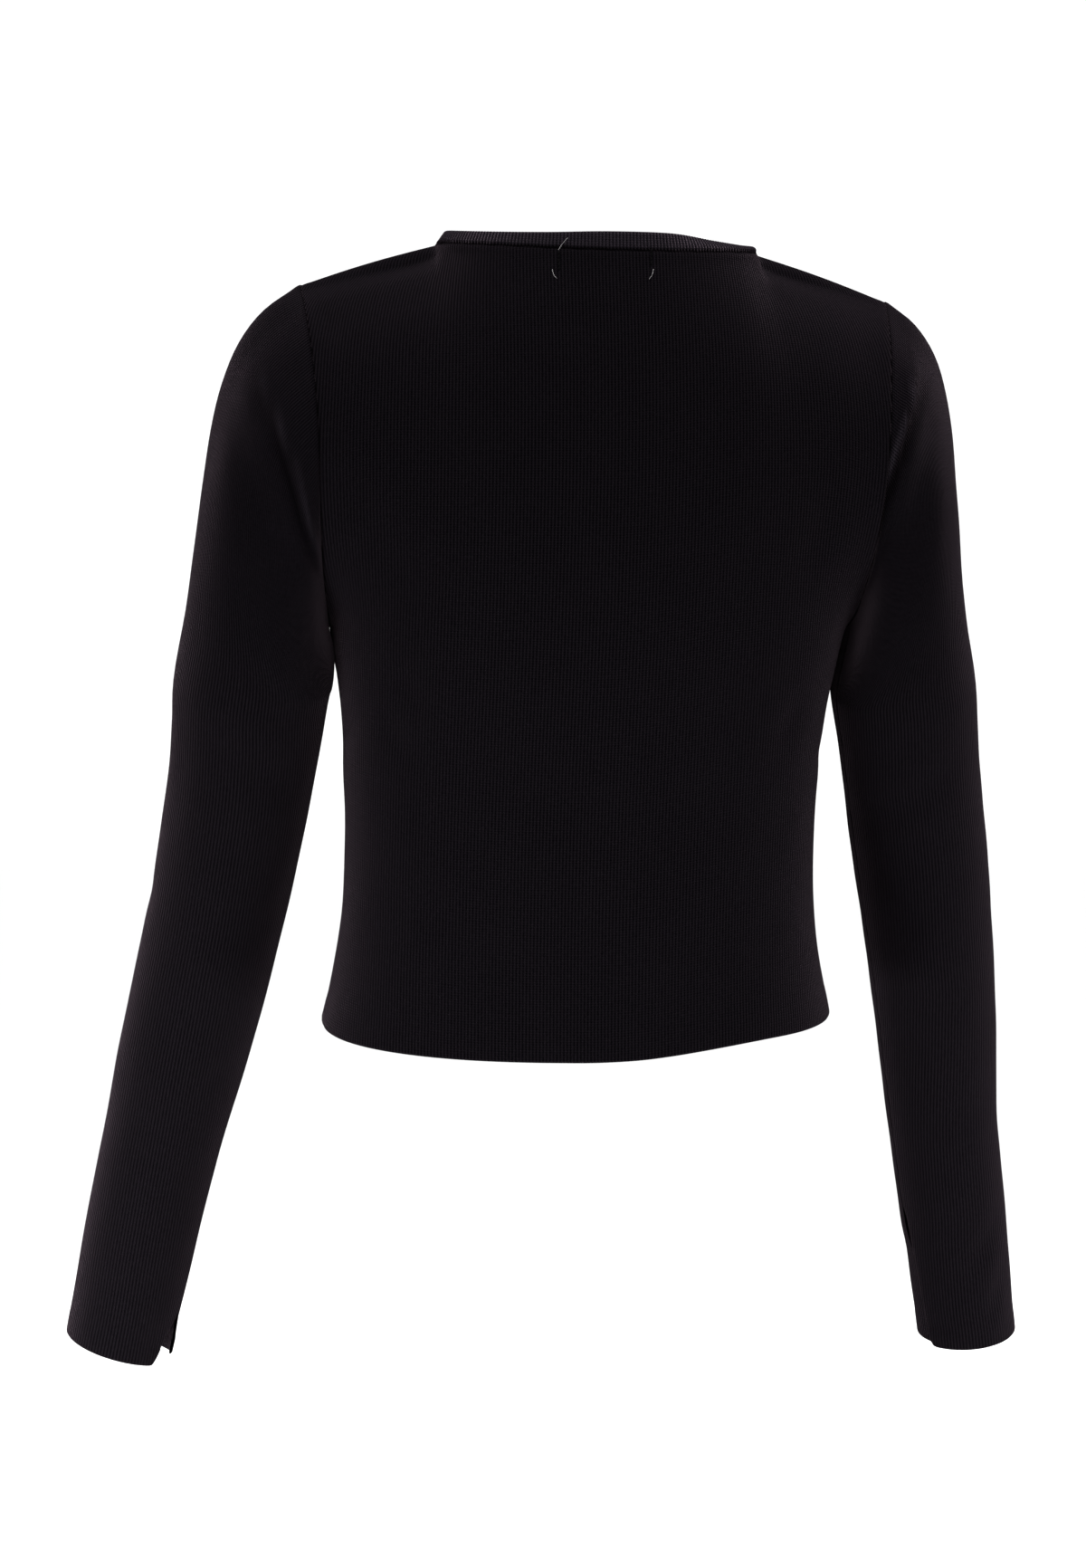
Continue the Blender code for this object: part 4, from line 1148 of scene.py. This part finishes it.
def fine_sleeve(name, grids, normals, front, edge, arm, path, mirror, knit):
    """A sleeve as a fine shell, open along its seam and parted at the cuff's slit."""
    loop, body_normals = armhole_loop(grids, normals, front, edge)
    grid = sleeve_grid(loop, arm, mirror)
    folded = fold(grid, outward_of_tube(grid), path, mirror)
    grid[1:] += (folded - grid)[1:] * FOLD_SHARE
    way = outward_of_tube(grid)
    convex = ((way[0] - body_normals) @ np.array([mirror, 0, 0])) > 0
    way[0, convex] = unit(way[0, convex] + body_normals[convex])
    count = grid.shape[1]
    wrapped = [(SLIT_COLUMN + k) % count for k in range(-2, count + 3)]
    rows, columns = stations(grid.shape[0], SLEEVE_STEPS), stations(count + 1, STEPS_ROUND_SLEEVE)
    fine, way, slit_painted_shadow = slit_edges(grid[:, wrapped], way[:, wrapped], rows, columns, mirror)
    down = lengths_along(fine, 0)
    edge_points = armhole_edge(grids, front, edge, columns + SLIT_COLUMN)
    fine = fine + (edge_points - fine[0])[None] * bell(down / ARMHOLE_FADE)[..., None]
    free = ease(down / SEAM_FADE)
    fine, shade = fold_edge(fine, way, mirror, free)
    middle = np.zeros_like(fine)
    middle[..., :2] = fine.mean(axis=1)[:, None, :2]
    fine = uneven(creased(fine, way, one_side(ARM_CREASES, mirror), free, middle), way, free)
    origin = int(np.argmin(np.abs(columns - (count - SLIT_COLUMN) % count)))
    past_underarm = columns + SLIT_COLUMN - ROWS_BESIDE_ARM
    from_underarm = np.minimum(past_underarm, count + ROWS_BESIDE_ARM - SLIT_COLUMN - columns)
    held = 1 - bell(from_underarm / 3)[None] * bell(down / UNDERARM_HELD)
    # Painted shadow on the sleeve beside the seam under the arm, times the cuff slit's painted shadows
    shade = shade * (1 - 0.5 * bell(from_underarm / 5)[None] * bell(down / UNDERARM_SHADOW)) * slit_painted_shadow
    shell(name, fine, way, ("low", "first", "last"), ("top",), origin, knit, held, shade)
    return fine, way


def fine_neckband(sections, directions, knit):
    """The neckband with its ribs and its soft rounded top edge."""
    middle = sections - directions * (WALL / 2)
    lengths = lengths_along(sections, 0)[:, -1]
    ribs = round(lengths[-1] / RIB_PITCH)
    walked = np.linspace(0, lengths[-1], ribs * POINTS_TO_A_RIB + 1)
    at = np.interp(walked, lengths, np.arange(len(lengths)))
    heights = np.array([0.0, 0.25, 0.55, 0.9, 1.3, 1.7, 2.1, 2.45, 2.7, 2.85, 2.94, 3.0])
    line = refined(middle, at, heights)
    way = unit(refined(directions, at, heights))
    tucked = line[:, :1] - unit(line[:, 1:2] - line[:, :1]) * NECKBAND_TUCK - way[:, :1] * NECKBAND_SINK
    line = np.concatenate([tucked, line], axis=1)
    way = np.concatenate([way[:, :1], way], axis=1)
    heights = np.concatenate([[0.0], heights])
    wave = 0.5 + 0.5 * np.cos(2 * math.pi * np.arange(len(at)) / POINTS_TO_A_RIB)
    top = np.clip((heights - 2.35) / 0.65, 0, 1)
    half = (WALL / 2 + NECKBAND_SWELL) * np.sqrt(1 - top**2 * 0.96)
    half = half * (1 - 0.60 * bell(heights / 0.20))
    relief = NECK_RIB_HEIGHT * wave[:, None] * np.sqrt(1 - top**2 * 0.9)[None, :]
    layer = way * (half[None, :] + relief - NECK_RIB_HEIGHT / 2)[..., None]
    along = np.arange(len(at)) * RIB_PITCH / POINTS_TO_A_RIB
    rise = lengths_along(line, 1)
    uv = np.stack(np.broadcast_arrays(along[:, None], rise), axis=-1)
    # Painted shadow at the seam under the band, and painted highlights on the ribs' crests with painted
    # shade between them
    shade = painted_seam_shadow(np.maximum(rise - NECKBAND_TUCK, 0)) * (0.75 + 0.5 * wave[:, None])
    cloth_object("neckband", line + layer, line - layer, uv, shade, way, knit)


def fine_front_band(name, line, out, offset, knit):
    """A front band with ribs along its length."""
    at = np.linspace(0, len(line) - 1, (len(line) - 1) * 5 + 1)
    fine_line = smooth(np.arange(len(line)), line, at)
    fine_out = unit(smooth(np.arange(len(out)), out, at))
    across = np.linspace(-1, 1, BAND_RIBS * POINTS_TO_A_RIB + 1)
    grid = fine_line[:, None] + across[None, :, None] * np.array([-BAND_HALF_WIDTH, 0.0, 0.0])
    way = np.repeat(fine_out[:, None], len(across), axis=1)
    wave = 0.5 - 0.5 * np.cos(2 * math.pi * np.arange(len(across)) / POINTS_TO_A_RIB)
    edge = np.clip((np.abs(across) - 0.93) / 0.07, 0, 1) ** 2
    relief = RIB_HEIGHT * wave[None, :] - RIB_HEIGHT - WALL * EDGE_ROUNDING * edge[None, :]
    relief = np.broadcast_to(relief, grid.shape[:2])
    outer = grid + way * (offset + relief)[..., None]
    inner = grid + way * (offset - WALL - relief)[..., None]
    span = lengths_along(grid, 1)
    up = lengths_along(grid, 0)
    to_edge = np.minimum(span, span[:, -1:] - span)
    along = (np.arange(len(across)) / POINTS_TO_A_RIB - 0.5) * RIB_PITCH
    uv = np.stack(np.broadcast_arrays(along, up), axis=-1)
    # Painted shadow along the band's edges, and painted highlights on the ribs' crests with painted shade
    # between them
    cloth_object(name, outer, inner, uv, painted_seam_shadow(to_edge) * (0.8 + 0.4 * wave), way, knit)
    return fine_line, fine_out


def fine_button(node, centre, out, plastic):
    """A dished button with a rim and four holes."""
    side = np.array([1.0, 0.0, 0.0])
    up = unit(np.cross(out, side))
    radii = np.concatenate([np.linspace(0.02, 0.62, 22), np.linspace(0.66, 0.97, 12)])
    around = 2 * math.pi * np.arange(BUTTON_SIDES) / BUTTON_SIDES
    x = radii[:, None] * np.cos(around)
    y = radii[:, None] * np.sin(around)
    dish = DISH_HEIGHT + RIM_SWELL * bell((radii - RIM_PLACE) / RIM_WIDTH)
    height = np.repeat(dish[:, None], len(around), axis=1)
    for hole_x in (-HOLE_PLACE, HOLE_PLACE):
        for hole_y in (-HOLE_PLACE, HOLE_PLACE):
            gap = np.hypot(x - hole_x, y - hole_y)
            height = height - HOLE_DEPTH * (1 - ease((gap - HOLE_RADIUS) / HOLE_SLOPE))
    points = [centre + out * dish[0] * BUTTON_THICKNESS]
    rings = [(x[k], y[k], height[k]) for k in range(len(radii))]
    rings += [(r * np.cos(around), r * np.sin(around), np.full(len(around), h)) for r, h in BUTTON_RIM]
    for ring_x, ring_y, ring_h in rings:
        for k in range(len(around)):
            flat = (side * ring_x[k] + up * ring_y[k]) * BUTTON_RADIUS
            points.append(centre + flat + out * ring_h[k] * BUTTON_THICKNESS)
    count = len(around)
    faces = [(0, 1 + k, 1 + (k + 1) % count) for k in range(count)]
    faces += [(1 + a, 1 + d, 1 + c, 1 + b) for a, b, c, d in ring_faces(len(rings), count)]
    finish_piece(make_object(f"knit_{node}", points, faces, plastic), node)


def fastenings(line, out, plastic, thread):
    """The buttons, the thread through their holes and the stitched buttonholes under them."""
    side = np.array([1.0, 0.0, 0.0])
    threads = []
    travel = lengths_along(line, 0)
    for k, at in enumerate(np.linspace(travel[-1] - TOP_BUTTON_DROP, LOW_BUTTON_RISE, BUTTON_COUNT)):
        place = between(at, travel, line)
        way = unit(between(at, travel, out))
        up = unit(np.cross(way, side))
        up = up * np.sign(up[2])
        base = place + way * (BAND_OFFSET + BUTTON_GAP)
        fine_button(f"button_{k + 1}", base, way, plastic)
        top = base + way * BUTTON_THICKNESS * THREAD_HEIGHT
        for row in (-1, 1):
            arch = [
                top + up * row * HOLE_PLACE * BUTTON_RADIUS + side * t * THREAD_REACH * BUTTON_RADIUS
                + way * (BUTTON_ARCH * (1 - t**4) - BUTTON_ARCH_SINK)
                for t in np.linspace(-1, 1, 9)
            ]
            threads.append(tube(arch, BUTTON_THREAD))
        surface = place + way * BAND_OFFSET
        ring = [
            surface + up * (BUTTONHOLE_REACH * math.sin(a) - BUTTONHOLE_DROP)
            + side * BUTTONHOLE_HALF_WIDTH * math.cos(a) + way * CLEAR_OF_CLOTH
            for a in np.linspace(0, 2 * math.pi, 40)
        ]
        threads.append(tube(ring, BUTTONHOLE_THREAD, 6))
    joined("button_stitches", threads, thread)


def label_stitches(grid, normals, thread, pale):
    """The two short bars of stitches below the back of the neckband, and their loose ends."""
    dark, light = [], []
    for x, top, low in LABEL_BARS:
        steps = int(round((low - top) / LABEL_STITCH))
        for k in range(steps):
            start, end = (top + (low - top) * (k + share) / steps for share in (0.04, 0.92))
            path = []
            for share in np.linspace(0, 1, 6):
                pixel = (x + 0.4 * math.sin(k * 2.1), start + (end - start) * share)
                point, normal = on_cloth(pixel, grid, normals)
                path.append(point + normal * (LABEL_ARCH * math.sin(math.pi * share) + CLEAR_OF_CLOTH))
            dark.append(tube(path, LABEL_THREAD, 6))
    for bend, rise in zip(LOOSE_ENDS, LOOSE_RISES):
        keys = np.arange(len(bend))
        path = []
        for k, pixel in enumerate(smooth(keys, bend, np.linspace(0, keys[-1], 14))):
            point, normal = on_cloth(pixel, grid, normals)
            path.append(point + normal * (LOOSE_START + rise * k / 13))
        light.append(tube(path, LOOSE_THREAD, 6, 0.6))
    joined("label_stitches", dark, thread)
    joined("loose_thread_ends", light, pale)


def hem_stitches(fine, thread):
    """A line of small stitches just above the turned hem of the body."""
    pieces = []
    for grid, way in fine.values():
        up = lengths_along(grid, 0)
        both = np.concatenate([grid, way], axis=-1)
        line = np.array([between(HEM_HEIGHT, up[:, c], both[:, c]) for c in range(grid.shape[1])])
        walk = lengths_along(line[:, :3], 0)
        for at in np.arange(HEM_STITCHES_START, walk[-1] - HEM_STITCHES_STOP, HEM_STITCH_STEP):
            path = []
            for share in np.linspace(0, 1, 4):
                here = between(at + share * HEM_STITCH_LENGTH, walk, line)
                lift = HEM_ARCH * math.sin(math.pi * share) - HEM_ARCH_SINK
                path.append(here[:3] + here[3:] * lift)
            pieces.append(tube(path, HEM_THREAD, 4))
    joined("hem_stitches", pieces, thread)


def armhole_stitches(arms, thread):
    """The thread that links each sleeve to the body, inside the seam, where it closes the gap between them.
    It lies nearer to the surface under the arm."""
    pieces = []
    for grid, way in arms:
        height = grid[0, :, 2] - grid[0, :, 2].min()
        depth = np.interp(height, (0.0, 0.02), LINKING_DEPTHS)
        pieces.append(tube(grid[0] - way[0] * depth[:, None], LINKING_RADIUS, 6, 1.0, way[0]))
    joined("armhole_stitches", pieces, thread)


def camera_and_stage():
    """The photograph's view, a pale flat floor and soft studio light."""
    data = bpy.data.cameras.new("camera")
    camera = placed("camera", data)
    data.sensor_width = 36.0
    data.lens = data.sensor_width * FOCAL_PIXELS / FRAME_HEIGHT
    data.clip_start, data.clip_end = 0.05, 60.0
    turn = Matrix((tuple(RIGHT_WAY), (0.0, 0.0, 1.0), tuple(BACK_WAY))).transposed()
    camera.matrix_world = Matrix.Translation(Vector(EYE)) @ turn.to_4x4()
    bpy.context.scene.camera = camera

    corners = [(x * FLOOR_REACH, y * FLOOR_REACH, FLOOR) for x, y in ((-1, -1), (1, -1), (1, 1), (-1, 1))]
    pale_floor = plain_looks("pale_floor", (FLOOR_TONE, FLOOR_TONE, FLOOR_TONE), 1.0)
    floor = make_object("floor", corners, [(0, 1, 2, 3)], pale_floor)

    bpy.context.scene.view_settings.view_transform = "Standard"
    world = bpy.data.worlds.new("studio")
    world.use_nodes = True
    world.node_tree.nodes["Background"].inputs[0].default_value = (1.0, 1.0, 1.0, 1)
    world.node_tree.nodes["Background"].inputs[1].default_value = WORLD_LIGHT
    bpy.context.scene.world = world
    for name, place, size, power, aim in LAMPS:
        lamp = bpy.data.lights.new(name, "AREA")
        lamp.size = size
        lamp.energy = power
        made = placed(name, lamp)
        made.location = place
        made.rotation_euler = (Vector(aim) - Vector(place)).to_track_quat("-Z", "Y").to_euler()
        made.visible_camera = False


def build():
    """Makes every visible piece."""
    knit = knit_looks("black_rib_knit", 0.75)
    # The bands are the same black yarn; light 3.2 makes a lighter copy of it, painted light for the light
    # falling on the neckband from above
    band_knit = knit_looks("black_band_knit_painted_light", 0.45, 3.2)
    plastic = plain_looks("black_button", (0.006, 0.0055, 0.006), 0.38, 0.0, 0.35)
    thread = plain_looks("black_thread", (0.0004, 0.0003, 0.0004), 1.0, 0.0, 0.02)
    pale = plain_looks("pale_thread", (0.13, 0.125, 0.125), 0.9)
    grids, normals = body_panels()
    last = grids["back"].shape[1] - 1
    fine = fine_panels(grids, normals, knit)
    arms = [
        fine_sleeve("sleeve_left", grids, normals, "front_left", 0, LEFT_ARM, LEFT_FOLD, 1, knit),
        fine_sleeve("sleeve_right", grids, normals, "front_right", last, RIGHT_ARM, RIGHT_FOLD, -1, knit),
    ]
    sections, directions = neckband_sections(grids, normals)
    fine_neckband(sections, directions, band_knit)
    line, out = front_line(grids, normals, sections, directions)
    fine_line, fine_out = fine_front_band("buttonhole_band", line, out, BAND_OFFSET, band_knit)
    fine_front_band("button_band", line, out, -BAND_OFFSET, band_knit)
    fastenings(fine_line, fine_out, plastic, thread)
    label_stitches(*fine["back"], thread, pale)
    hem_stitches(fine, thread)
    armhole_stitches(arms, thread)
    camera_and_stage()


build()
